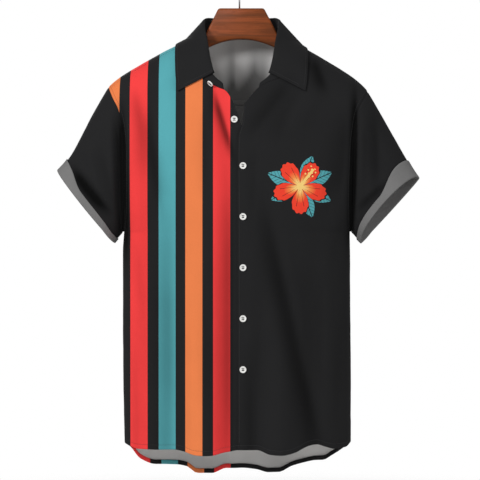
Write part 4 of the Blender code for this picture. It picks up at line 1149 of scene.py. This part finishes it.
# %% Collar
COLLAR = Table("share roll_out roll_fore roll_down edge_out edge_fore edge_down", [
    (0.00, 0, -36, 89, 0, -52, 137), (0.15, 36, -33, 88.5, 48, -50, 136),
    (0.30, 57, -17, 90, 92, -32, 134), (0.42, 64.5, 0, 98, 112, -4, 140),
    (0.55, 64.5, 19, 114, 116, 20, 158), (0.70, 60.5, 38, 142, 115, 40, 184),
    (0.82, 55.5, 50, 171, 113, 52, 207), (0.90, 50, 55, 192, 110.5, 56, 222),
    (1.00, 32, 58.5, 209, 110.5, 56, 222)])
NECK_CENTRE, NECK_AXIS, LEAF_END, SEAM_CLOSE, SHARE_STEP = 3.5, -10.0, 0.9, 0.4, 0.01
COLLAR_THICK, STAND_GAP, STAND_OUT, STAND_ROWS, STATIONS = 1.5, 0.3, 1.6, 14, 181


def collar_point(share, line):
    """A point of the collar's roll or edge: share runs from -1, the left end, to 1."""
    hand, size = np.where(share < 0, LEFT, RIGHT), np.abs(share)
    return np.stack([NECK_CENTRE + hand * COLLAR.at(size, line + "_out"),
                     -COLLAR.at(size, line + "_fore"), -COLLAR.at(size, line + "_down")], axis=-1)


def neckline():
    """Points and directions round the neck from the left front end to the right."""
    middle = slice(len(SHOULDER), len(SHOULDER) + len(BACK_MIDDLE))
    runs = []
    for part in (0, 1):
        rise = []
        for hand, front in ((LEFT, front_right), (RIGHT, front_left)):
            start = int(np.argmin(abs(CORNER - STAND_START[hand])))
            front_neck = front[1][part][-1, start:len(CORNER)]
            rise.append(np.vstack([front_neck, front[2][part][1:, 0]]))
        behind = np.vstack([yoke_left[part][:, -1][:-1], yoke_behind[part][0, middle],
                            yoke_right[part][:, 0][::-1][1:]])
        runs.append(joined([rise[0], behind, rise[1][::-1]]))
    return runs[0], unit(runs[1])


def path_run(points):
    """Distance along a line of points, at each of them."""
    return np.append(0, np.cumsum(np.linalg.norm(np.diff(points, axis=0), axis=1)))


def along_path(where, run, values):
    """Three-part values of a line, read at other distances or shares along it."""
    return np.stack([np.interp(where, run, values[:, axis]) for axis in range(3)], axis=1)


def collar_stations(points, normals):
    """Even shares along the neck seam, with the seam's points and directions there."""
    keep = np.append(True, np.linalg.norm(np.diff(points, axis=0), axis=1) > SEAM_CLOSE)
    run = path_run(points[keep])
    found = 2 * run / run[-1] - 1
    shares = np.sort(np.append(np.linspace(-1, 1, STATIONS), [-LEAF_END, LEAF_END]))
    shares = shares[np.append(True, np.diff(shares) > 1e-6)]
    return (shares, along_path(shares, found, points[keep]),
            unit(along_path(shares, found, normals[keep])))


def roll_frame(shares, seam):
    """The collar's roll line, with the directions up the stand and outwards."""
    roll = collar_point(shares, "roll")
    ahead, behind = (collar_point(shares + step, "roll") for step in (SHARE_STEP, -SHARE_STEP))
    along = unit(ahead - behind)
    rise = roll - seam
    rise = unit(rise - np.sum(rise * along, axis=1, keepdims=True) * along)
    out = unit(np.cross(along, rise))
    away = roll - np.array([NECK_CENTRE, NECK_AXIS, 0.0])
    away[:, 2] = 0
    return roll, rise, out * np.sign(np.sum(out * away, axis=1, keepdims=True))


def grid_normals(points, towards):
    """Directions square to a grid, on the side that is given."""
    normals = unit(np.cross(np.gradient(points, axis=1), np.gradient(points, axis=0)))
    return normals * np.sign(np.sum(normals * towards, axis=-1, keepdims=True))


shares, neck_seam, neck_normals = collar_stations(*neckline())
roll, rise, outwards = roll_frame(shares, neck_seam)
stand_root = neck_seam + STAND_GAP * away_from_panel(neck_seam, neck_normals, rise)
stand_rows = np.array([mix(stand_root, roll + STAND_OUT * outwards, step)
                       for step in np.linspace(0, 1, STAND_ROWS)])
stand_facing = grid_normals(stand_rows, outwards)
stand_facing[0], stand_facing[-1] = neck_normals, outwards
stand = (stand_rows, stand_facing, lengths(stand_rows))
stand_cloth = cloth_object("collar_stand_cloth", [stand], PLAIN, PLAIN, COLLAR_THICK)
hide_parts("collar_stand")

# %% [markdown]
# ## The collar's leaf
# The leaf rolls over the stand's top in a small round and then lies on the
# shoulders.  Points that would sink into the body are moved straight out of it.

# %% The collar's leaf
ROLL_TURNS = np.radians([180, 165, 150, 130, 110, 90, 70, 50, 30, 10])
LEAF_STEPS = np.concatenate((np.linspace(0.04, 0.95, 22), [0.975, 0.99, 1.0]))
ROLL_RADIUS, ROLL_LIFT, LEAF_CLEAR, UPWARDS = 2.9, 0.3, 3.3, np.array([0, 0, 0.5])


def clear_of_body(points, clearance):
    """Move points that lie within the clearance of the body straight out of it."""
    place, y, down = points[..., 0], points[..., 1], -points[..., 2]
    ridge = RIDGE.at(place, "down")
    side = np.where(y < 0, FRONT, BACK)
    depth = body_depth(place, down, np.cos(angle_at(place, down)), side, creased=False)
    rise = np.maximum(RIDGE_ROUND - (down - ridge), 0)
    reach = np.hypot(y / depth, rise / RIDGE_ROUND)
    scale = np.maximum((1 + clearance / (np.hypot(y, rise) / reach)) / reach, 1)
    down = np.where(rise > 0, ridge + RIDGE_ROUND - rise * scale, down)
    return np.stack([place, y * scale, -down], axis=-1)


def collar_leaf():
    """The leaf's points, directions and map, from inside the roll out to its edge."""
    covered = np.abs(shares) <= LEAF_END + 1e-9
    roll, rise, out = roll_frame(shares[covered], neck_seam[covered])
    centre = roll + ROLL_LIFT * rise + ROLL_RADIUS * out
    turning = [math.cos(turn) * out + math.sin(turn) * rise for turn in ROLL_TURNS]
    rows = [centre + ROLL_RADIUS * way for way in turning]
    root, edge = rows[-1], collar_point(shares[covered], "edge")
    rows += [clear_of_body(mix(root, edge, step), LEAF_CLEAR) for step in LEAF_STEPS]
    seen = np.array(rows)
    towards = np.array(turning + [out + UPWARDS] * len(LEAF_STEPS))
    normals = grid_normals(seen, towards)
    normals[:len(turning) - 1] = towards[:len(turning) - 1]
    return seen, normals, lengths(seen)


leaf = collar_leaf()
leaf_cloth = cloth_object("collar_leaf_cloth", [leaf], PLAIN, PLAIN, COLLAR_THICK)
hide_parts("collar_leaf")

# %% [markdown]
# ## Sewing thread
# Every seam and hem is held by a lock stitch.  One stitch is modelled as a small
# flattened bead of thread, and copies of it are laid end to end along each line, on
# the cloth itself, so that they follow its folds.  Black thread on black cloth
# shows only as a row of small lights and shadows.

# %% One stitch
bpy.ops.object.select_all(action="DESELECT")
bpy.ops.mesh.primitive_uv_sphere_add(segments=6, ring_count=5, radius=1.0,
                                     rotation=(0, math.radians(90), 0))
bead = bpy.context.object
bpy.ops.object.transform_apply(rotation=True)
BEAD = np.array([v.co for v in bead.data.vertices])
BEAD_FACES = [tuple(face.vertices) for face in bead.data.polygons]
bpy.data.objects.remove(bead)
STITCH, PITCH, THREAD_WIDE, THREAD_HIGH, BEAD_LIFT, TWIST = 2.3, 2.9, 0.3, 0.22, 0.3, 900.0


def thread_material():
    """Black thread, whose twist shows as fine slanting ridges."""
    made, tree, shader, place = new_material("black_thread")
    twist = node(tree, "TexWave", {"Vector": place["Object"], "Scale": TWIST},
                 bands_direction="DIAGONAL")["Fac"]
    raised = node(tree, "Bump", {"Strength": 0.3, "Distance": 0.0001, "Height": twist})
    # painted shade: the colour is darker in the twist's grooves and lighter on its ridges
    fill(shader, {"Base Color": toned((0.017, 0.017, 0.018), spread(twist, 0.75, 1.15)),
                  "Roughness": 0.55, "Normal": raised})
    return made


THREAD = thread_material()
print("one stitch:", len(BEAD_FACES), "faces")

# %% [markdown]
# ## Rows of stitches
# A line of points is walked at an even pitch.  At each stop the nearest spot on the
# cloth is found, and a bead is laid there along the line, or across it where the
# thread goes over an edge.

# %% Rows of stitches
LOOK_ALONG = 0.4


def walk(line, pitch):
    """Places at an even pitch along a line of points, and the way it runs there."""
    run = path_run(line)
    count = max(int(run[-1] // pitch), 1)
    stations = (np.arange(count) + 0.5) * run[-1] / count
    ahead, behind = (along_path(stations + step, run, line) for step in (LOOK_ALONG, -LOOK_ALONG))
    return along_path(stations, run, line), unit(ahead - behind)


def sewn(name, cloth_piece, lines, slot, pitch=PITCH, length=STITCH, over_edge=False):
    """Stitches along lines of points, laid on a piece of cloth and joined in one mesh."""
    mesh = cloth_piece.data
    surface = BVHTree.FromPolygons([v.co for v in mesh.vertices],
                                   [tuple(face.vertices) for face in mesh.polygons])
    points, faces = [], []
    for line in lines:
        for place, way in zip(*walk(np.asarray(line), pitch)):
            spot, facing, _, _ = surface.find_nearest(Vector(place * MM))
            facing = np.array(facing)
            way = unit(way - facing * (way @ facing))
            side = np.cross(facing, way)
            if over_edge:
                way, side = side, way
            faces += [tuple(len(points) * len(BEAD) + i for i in face) for face in BEAD_FACES]
            points.append(np.array(spot) / MM + BEAD[:, :1] * way * length / 2
                          + BEAD[:, 1:2] * side * THREAD_WIDE
                          + (BEAD[:, 2:] + BEAD_LIFT) * facing * THREAD_HIGH)
    sewing = bpy.data.meshes.new(name)
    sewing.from_pydata((np.vstack(points) * MM).tolist(), [], faces)
    sewing.shade_smooth()
    sewing.materials.append(THREAD)
    made = new_object(name, sewing)
    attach(made, "root")
    print(f"{name}: {len(points)} stitches")


def beside(edge, inner, distance):
    """A line at a distance from an edge, towards the cloth's inner points."""
    return edge + distance * unit(inner - edge)


def beside_end(grid, end, inwards, distance):
    """A line beside a grid's first (0) or last (-1) column, led by one further in."""
    return beside(grid[:, end], grid[:, end + (-inwards if end else inwards)], distance)


print("stitches every", PITCH, "mm")

# %% [markdown]
# ## Seams and hems
# The turned hem is held by a row all round, the button edges by a row 3 mm in.  At
# the armholes, where layers are sewn together, the row lies 5 mm from the seam.

# %% Seams and hems
HEM_ROW, ABOVE_HEM = 11, 13    # the row that holds the turned hem, the first above it
EDGE_IN, ARMHOLE_IN, YOKE_IN = 3.0, 5.0, 2.2
for name, grids, piece in (("right", front_right, right_cloth), ("left", front_left, left_cloth)):
    skirt, chest, shoulder, _ = (grid[0] for grid in grids)
    lines = [skirt[HEM_ROW]]
    lines += [beside_end(part, 0, 3, EDGE_IN) for part in (skirt[ABOVE_HEM:], chest[:-3])]
    lines += [beside_end(part, -1, 6, ARMHOLE_IN) for part in (chest, shoulder)]
    sewn("stitches_front_" + name, piece, lines, "plain_cloth")
skirt, chest = back[0][0], back[1][0]
lines = [skirt[HEM_ROW]] + [beside_end(chest, end, 6, ARMHOLE_IN) for end in (0, -1)]
sewn("stitches_back", back_cloth, lines, "plain_cloth")
behind = yoke_behind[0]
lines = [beside(behind[-1], behind[-6], YOKE_IN)]
for grid, end in ((yoke_left[0], 0), (yoke_right[0], -1)):
    lines += [beside(grid[0], grid[3], YOKE_IN), beside_end(grid, end, 6, ARMHOLE_IN)]
lines += [beside_end(behind, end, 6, ARMHOLE_IN) for end in (0, -1)]
sewn("stitches_yoke", yoke_cloth, lines, "plain_cloth")

# %% [markdown]
# ## Collar seam, buttonholes and cuff tacks
# The collar's leaf is stitched round its three free edges.  A buttonhole is two
# close rows of thread over a cut edge, behind each button that is done up, and
# short bars of the same thread hold the cuffs up.

# %% Collar seam, buttonholes and cuff tacks
LEAF_IN = 5.0
seen = leaf[0]
foot = beside(seen[-1], seen[-10], LEAF_IN)
inside = [np.linalg.norm(foot - foot[end], axis=1) > LEAF_IN for end in (0, -1)]
lines = [foot[inside[0] & inside[1]]]
lines += [beside_end(seen[8:-6], end, 9, LEAF_IN) for end in (0, -1)]
sewn("stitches_collar", leaf_cloth, lines, "plain_cloth")

HOLE_LENGTH, HOLE_WIDE, HOLE_PITCH, OVER_LENGTH, DONE_UP = 13.5, 1.3, 0.62, 2.2, range(3, 8)
lines = []
for number in DONE_UP:
    low, high = (np.array(corner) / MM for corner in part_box("button_%d" % number))
    middle = (low + high) / 2
    for side in (-HOLE_WIDE, HOLE_WIDE):
        lines.append([middle + (side, 0, end * HOLE_LENGTH / 2) for end in (-1, 1)])
sewn("buttonholes", left_cloth, lines, "plain_cloth", HOLE_PITCH, OVER_LENGTH, over_edge=True)

TACKS = {LEFT: ((-264, 420), (-229, 463)), RIGHT: ((236, 455),)}   # across and down
HALF_TACK, TACK_PITCH, NOT_BEHIND = np.array([1.6, 0, 1.6]), 0.5, 1000
for hand, name in ((LEFT, "right"), (RIGHT, "left")):
    piece, (rings, _, _) = sleeves[hand]
    cuff = rings[-CUFF_ROWS:]
    lines = []
    for place, down in TACKS[hand]:
        gap = np.hypot(cuff[..., 0] - place, cuff[..., 2] + down)
        gap = gap + NOT_BEHIND * (cuff[..., 1] > 0)
        spot = cuff[np.unravel_index(np.argmin(gap), gap.shape)]
        lines.append([spot - HALF_TACK, spot + HALF_TACK])
    sewn("cuff_tacks_" + name, piece, lines, "plain_cloth", TACK_PITCH, OVER_LENGTH,
         over_edge=True)

# %% [markdown]
# ## Buttons
# A shirt button is turned from a sheet of white resin: a raised rim, a shallow dish
# and four holes.  It is shaped once from a cylinder by insets, its edges are
# rounded, and four drills cut the holes.

# %% One button
BUTTON_RADIUS, BUTTON_TALL, HOLE_RADIUS, HOLE_REACH = 5.8, 2.2, 0.9, 1.45
RIM_WIDE, DISH_SLOPE, DISH_DEEP, BUTTON_ROUND = 1.3, 0.7, 0.75, 0.38


def only(made):
    """Select one object and make it the active one."""
    bpy.ops.object.select_all(action="DESELECT")
    made.select_set(True)
    bpy.context.view_layer.objects.active = made


def edit_all(made):
    """Open a mesh for editing with all of it selected."""
    only(made)
    bpy.ops.object.mode_set(mode="EDIT")
    bpy.ops.mesh.select_all(action="SELECT")


def select_faces(made, chosen):
    """Select, in edit mode, the faces whose normal is chosen."""
    bpy.ops.object.mode_set(mode="EDIT")
    bpy.ops.mesh.select_mode(type="FACE")
    bpy.ops.mesh.select_all(action="DESELECT")
    bpy.ops.object.mode_set(mode="OBJECT")
    for face in made.data.polygons:
        face.select = chosen(face.normal)
    bpy.ops.object.mode_set(mode="EDIT")


def apply_modifier(made, kind, **settings):
    added = made.modifiers.new(kind.lower(), kind)
    for key, value in settings.items():
        setattr(added, key, value)
    only(made)
    bpy.ops.object.modifier_apply(modifier=added.name)


bpy.ops.object.select_all(action="DESELECT")
bpy.ops.mesh.primitive_cylinder_add(vertices=40, radius=BUTTON_RADIUS, depth=BUTTON_TALL)
button = bpy.context.object
select_faces(button, lambda normal: normal.z > 0.9)
bpy.ops.mesh.inset(thickness=RIM_WIDE)
bpy.ops.mesh.inset(thickness=DISH_SLOPE)
bpy.ops.transform.translate(value=(0, 0, -DISH_DEEP))
bpy.ops.object.mode_set(mode="OBJECT")
apply_modifier(button, "BEVEL", width=BUTTON_ROUND, segments=3, angle_limit=math.radians(25))
drills = []
for x, y in ((-1, -1), (-1, 1), (1, -1), (1, 1)):
    bpy.ops.mesh.primitive_cylinder_add(vertices=14, radius=HOLE_RADIUS, depth=6,
                                        location=(x * HOLE_REACH, y * HOLE_REACH, 0))
    drills.append(bpy.context.object)
for drill in drills:
    apply_modifier(button, "BOOLEAN", operation="DIFFERENCE", object=drill, solver="EXACT")
    bpy.data.objects.remove(drill)
only(button)
bpy.ops.object.shade_smooth_by_angle(angle=math.radians(38))
print("button:", len(button.data.polygons), "faces")

# %% [markdown]
# ## The button's thread
# Two loops of thread go through the four holes.  Each is a ring set upright and
# pressed lower, so that only its upper part stands above the dish.

# %% The button's thread
LOOP_WIRE, LOOP_FLAT, LOOP_LIFT = 0.75, 0.55, 0.35
loops = []
for y in (-HOLE_REACH, HOLE_REACH):
    bpy.ops.object.select_all(action="DESELECT")
    bpy.ops.mesh.primitive_torus_add(major_radius=HOLE_REACH, minor_radius=LOOP_WIRE,
                                     major_segments=20, minor_segments=8,
                                     rotation=(math.radians(90), 0, 0))
    loops.append(bpy.context.object)
    bpy.ops.object.transform_apply(rotation=True)
    edit_all(loops[-1])
    bpy.ops.transform.resize(value=(1, 1, LOOP_FLAT))
    bpy.ops.transform.translate(value=(0, y, LOOP_LIFT))
    bpy.ops.object.mode_set(mode="OBJECT")
    bpy.ops.object.shade_smooth()
loops[0].select_set(True)
bpy.ops.object.join()
loop = bpy.context.object
print("thread loops:", len(loop.data.polygons), "faces")

# %% [markdown]
# ## Button finish and places
# Cast resin has faint clouds under a smooth gloss.  Each solid tells where its
# button sits, which way it looks and how thick it is, so the one button and its
# thread are copied to all seven places.

# %% Button finish and places


def resin_material():
    """White resin: a smooth gloss with the faint clouds of cast sheet."""
    made, _, shader, place = new_material("white_resin")
    cloudy = clouds(place["Object"], scale=260.0, detail=3.0)
    fill(shader, {"Base Color": ramp(cloudy, ((0.3, (0.77, 0.76, 0.73, 1)),
                                              (0.7, (0.9, 0.9, 0.88, 1)))),
                  "Roughness": spread(cloudy, 0.2, 0.38)})
    return made


button.data.materials.append(resin_material())
loop.data.materials.append(THREAD)


def button_frame(number):
    """Where a button's solid sits: its middle, facing, side way and thickness."""
    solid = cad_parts["button_%d" % number].data
    points = np.array([v.co for v in solid.vertices])
    middle = points.mean(axis=0)
    facing = np.linalg.svd(points - middle)[2][2]
    facing = facing * (-1 if facing[1] > 0 else 1)
    reach = (points - middle) @ facing
    middle = middle + facing * (reach.max() + reach.min()) / 2
    side = unit(np.cross(facing, (0.0, 0.0, -1.0)))
    return middle, facing, side, np.ptp(reach)


for number in range(1, 8):
    middle, facing, side, tall = button_frame(number)
    turn = np.eye(4)
    turn[:3, 0], turn[:3, 1] = side * MM, np.cross(facing, side) * MM
    turn[:3, 2], turn[:3, 3] = facing * tall / BUTTON_TALL, middle
    for shape, name in ((button, "resin_button_%d"), (loop, "button_thread_%d")):
        made = new_object(name % number, shape.data.copy())
        made.data.transform(Matrix(turn.tolist()))
        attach(made, "root")
        if shape == button:
            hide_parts("button_%d" % number)
bpy.data.objects.remove(button)
bpy.data.objects.remove(loop)
print("buttons placed, each", round(tall / MM, 2), "mm thick")

# %% [markdown]
# ## The wooden hanger
# The hanger is sawn from flat hardwood: a broad neck, two arms under the shoulders
# and an arched underside.  Its outline is drawn once as a face, drawn out to its
# thickness, and its edges are eased with a bevel.

# %% The hanger's outline
WOOD_THICK, WOOD_TOP, WOOD_LEFT, WOOD_RIGHT, WOOD_ROUND = 12.0, 72.0, -37.0, 43.0, 3.4
NECK_REACH, NECK_DOWN, ARM_START, ARM_REACH, ARCH_TOP = 58.5, 108.0, 63.5, 190.0, 126.5
ARM_BELOW, ARM_HEIGHTS = 4.6, (25.0, 15.0)


def wood_outline():
    """Corners of the wood seen from the front, across and down, clockwise."""
    reach = np.linspace(ARM_START, ARM_REACH, 13)
    height = np.linspace(*ARM_HEIGHTS, len(reach))
    tops, feet = {}, {}
    for hand in (LEFT, RIGHT):
        along = NECK_CENTRE + hand * reach
        top = RIDGE.at(along, "down") + ARM_BELOW
        tops[hand], feet[hand] = list(zip(along, top)), list(zip(along, top + height))
    arch_foot = feet[RIGHT][0][1]
    arch = [(NECK_CENTRE + part * ARM_START, mix(ARCH_TOP, arch_foot, part * part))
            for part in np.linspace(1, -1, 21)[1:-1]]
    return [(WOOD_LEFT, WOOD_TOP), (WOOD_RIGHT, WOOD_TOP), (NECK_CENTRE + NECK_REACH, NECK_DOWN),
            *tops[RIGHT], *feet[RIGHT][::-1], *arch, *feet[LEFT], *tops[LEFT][::-1],
            (NECK_CENTRE - NECK_REACH, NECK_DOWN)]


outline = wood_outline()
board = bpy.data.meshes.new("varnished_hanger")
board.from_pydata([(x * MM, -WOOD_THICK / 2 * MM, -down * MM) for x, down in outline], [],
                  [tuple(range(len(outline)))])
hanger = new_object("varnished_hanger", board)
edit_all(hanger)
bpy.ops.mesh.extrude_region_move(TRANSFORM_OT_translate={"value": (0, WOOD_THICK * MM, 0)})
bpy.ops.mesh.select_all(action="SELECT")
bpy.ops.mesh.normals_make_consistent(inside=False)
bpy.ops.object.mode_set(mode="OBJECT")
apply_modifier(hanger, "BEVEL", width=WOOD_ROUND * MM, segments=5, angle_limit=math.radians(50))
bpy.ops.object.shade_smooth_by_angle(angle=math.radians(30))
print("hanger:", len(board.polygons), "faces")

# %% [markdown]
# ## Wood and wire finish
# The grain runs along the arms, under a red-brown stain and thin varnish, so the
# noise that draws it is stretched along them; a finer, still longer noise gives the
# open pores.  The wire is drawn steel, dull from its zinc.

# %% Wood and wire finish
GRAIN_STRETCH, PORE_STRETCH = (6.0, 60.0, 75.0), (45.0, 900.0, 1900.0)
STAIN = ((0.28, (0.1, 0.03, 0.009, 1)), (0.5, (0.19, 0.046, 0.0105, 1)),
         (0.72, (0.31, 0.07, 0.018, 1)))


def wood_material():
    made, tree, shader, place = new_material("stained_wood")
    grain = node(tree, "TexNoise", {"Vector": stretched(place["Object"], GRAIN_STRETCH),
                                    "Scale": 1.0, "Detail": 4.0, "Distortion": 0.9})
    pores = clouds(stretched(place["Object"], PORE_STRETCH), scale=1.0, detail=2.0)
    open_pore = spread(pores, 0.55, 1.0, start=0.33, end=0.42)
    raised = node(tree, "Bump", {"Strength": 0.25, "Distance": 0.0002, "Height": open_pore})
    fill(shader, {"Base Color": toned(ramp(grain, STAIN), open_pore),
                  "Roughness": spread(grain, 0.5, 0.32), "Normal": raised, "Coat Weight": 0.06,
                  "Coat Roughness": 0.2, "Specular IOR Level": 0.12})
    return made


def wire_material():
    made, _, shader, place = new_material("zinc_wire")
    spangle = clouds(place["Object"], scale=420.0, detail=4.0)
    fill(shader, {"Base Color": ramp(spangle, ((0.0, (0.34, 0.34, 0.35, 1)),
                                               (1.0, (0.62, 0.62, 0.63, 1)))),
                  "Roughness": spread(spangle, 0.25, 0.45), "Metallic": 1.0})
    return made


hanger.data.materials.append(wood_material())
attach(hanger, "root")
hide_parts("hanger_wood")
print("wood finish:", hanger.data.materials[0].name)

# %% [markdown]
# ## The hook
# The hook is one bent wire of 2.8 mm.  Its solid has the right shape already, but
# in flat facets, so a copy is merged, its triangles joined in pairs, and shaded
# smooth.

# %% The hook
PAIRED = math.radians(60)
hook = new_object("wire_hook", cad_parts["hanger_hook"].data.copy())
hook.data.materials.clear()
hook.data.materials.append(wire_material())
edit_all(hook)
bpy.ops.mesh.remove_doubles(threshold=2 * MERGE)
bpy.ops.mesh.tris_convert_to_quads(face_threshold=PAIRED, shape_threshold=PAIRED)
bpy.ops.object.mode_set(mode="OBJECT")
bpy.ops.object.shade_smooth_by_angle(angle=math.radians(50))
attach(hook, "root")
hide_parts("hanger_hook")
print("hook:", len(hook.data.polygons), "faces")
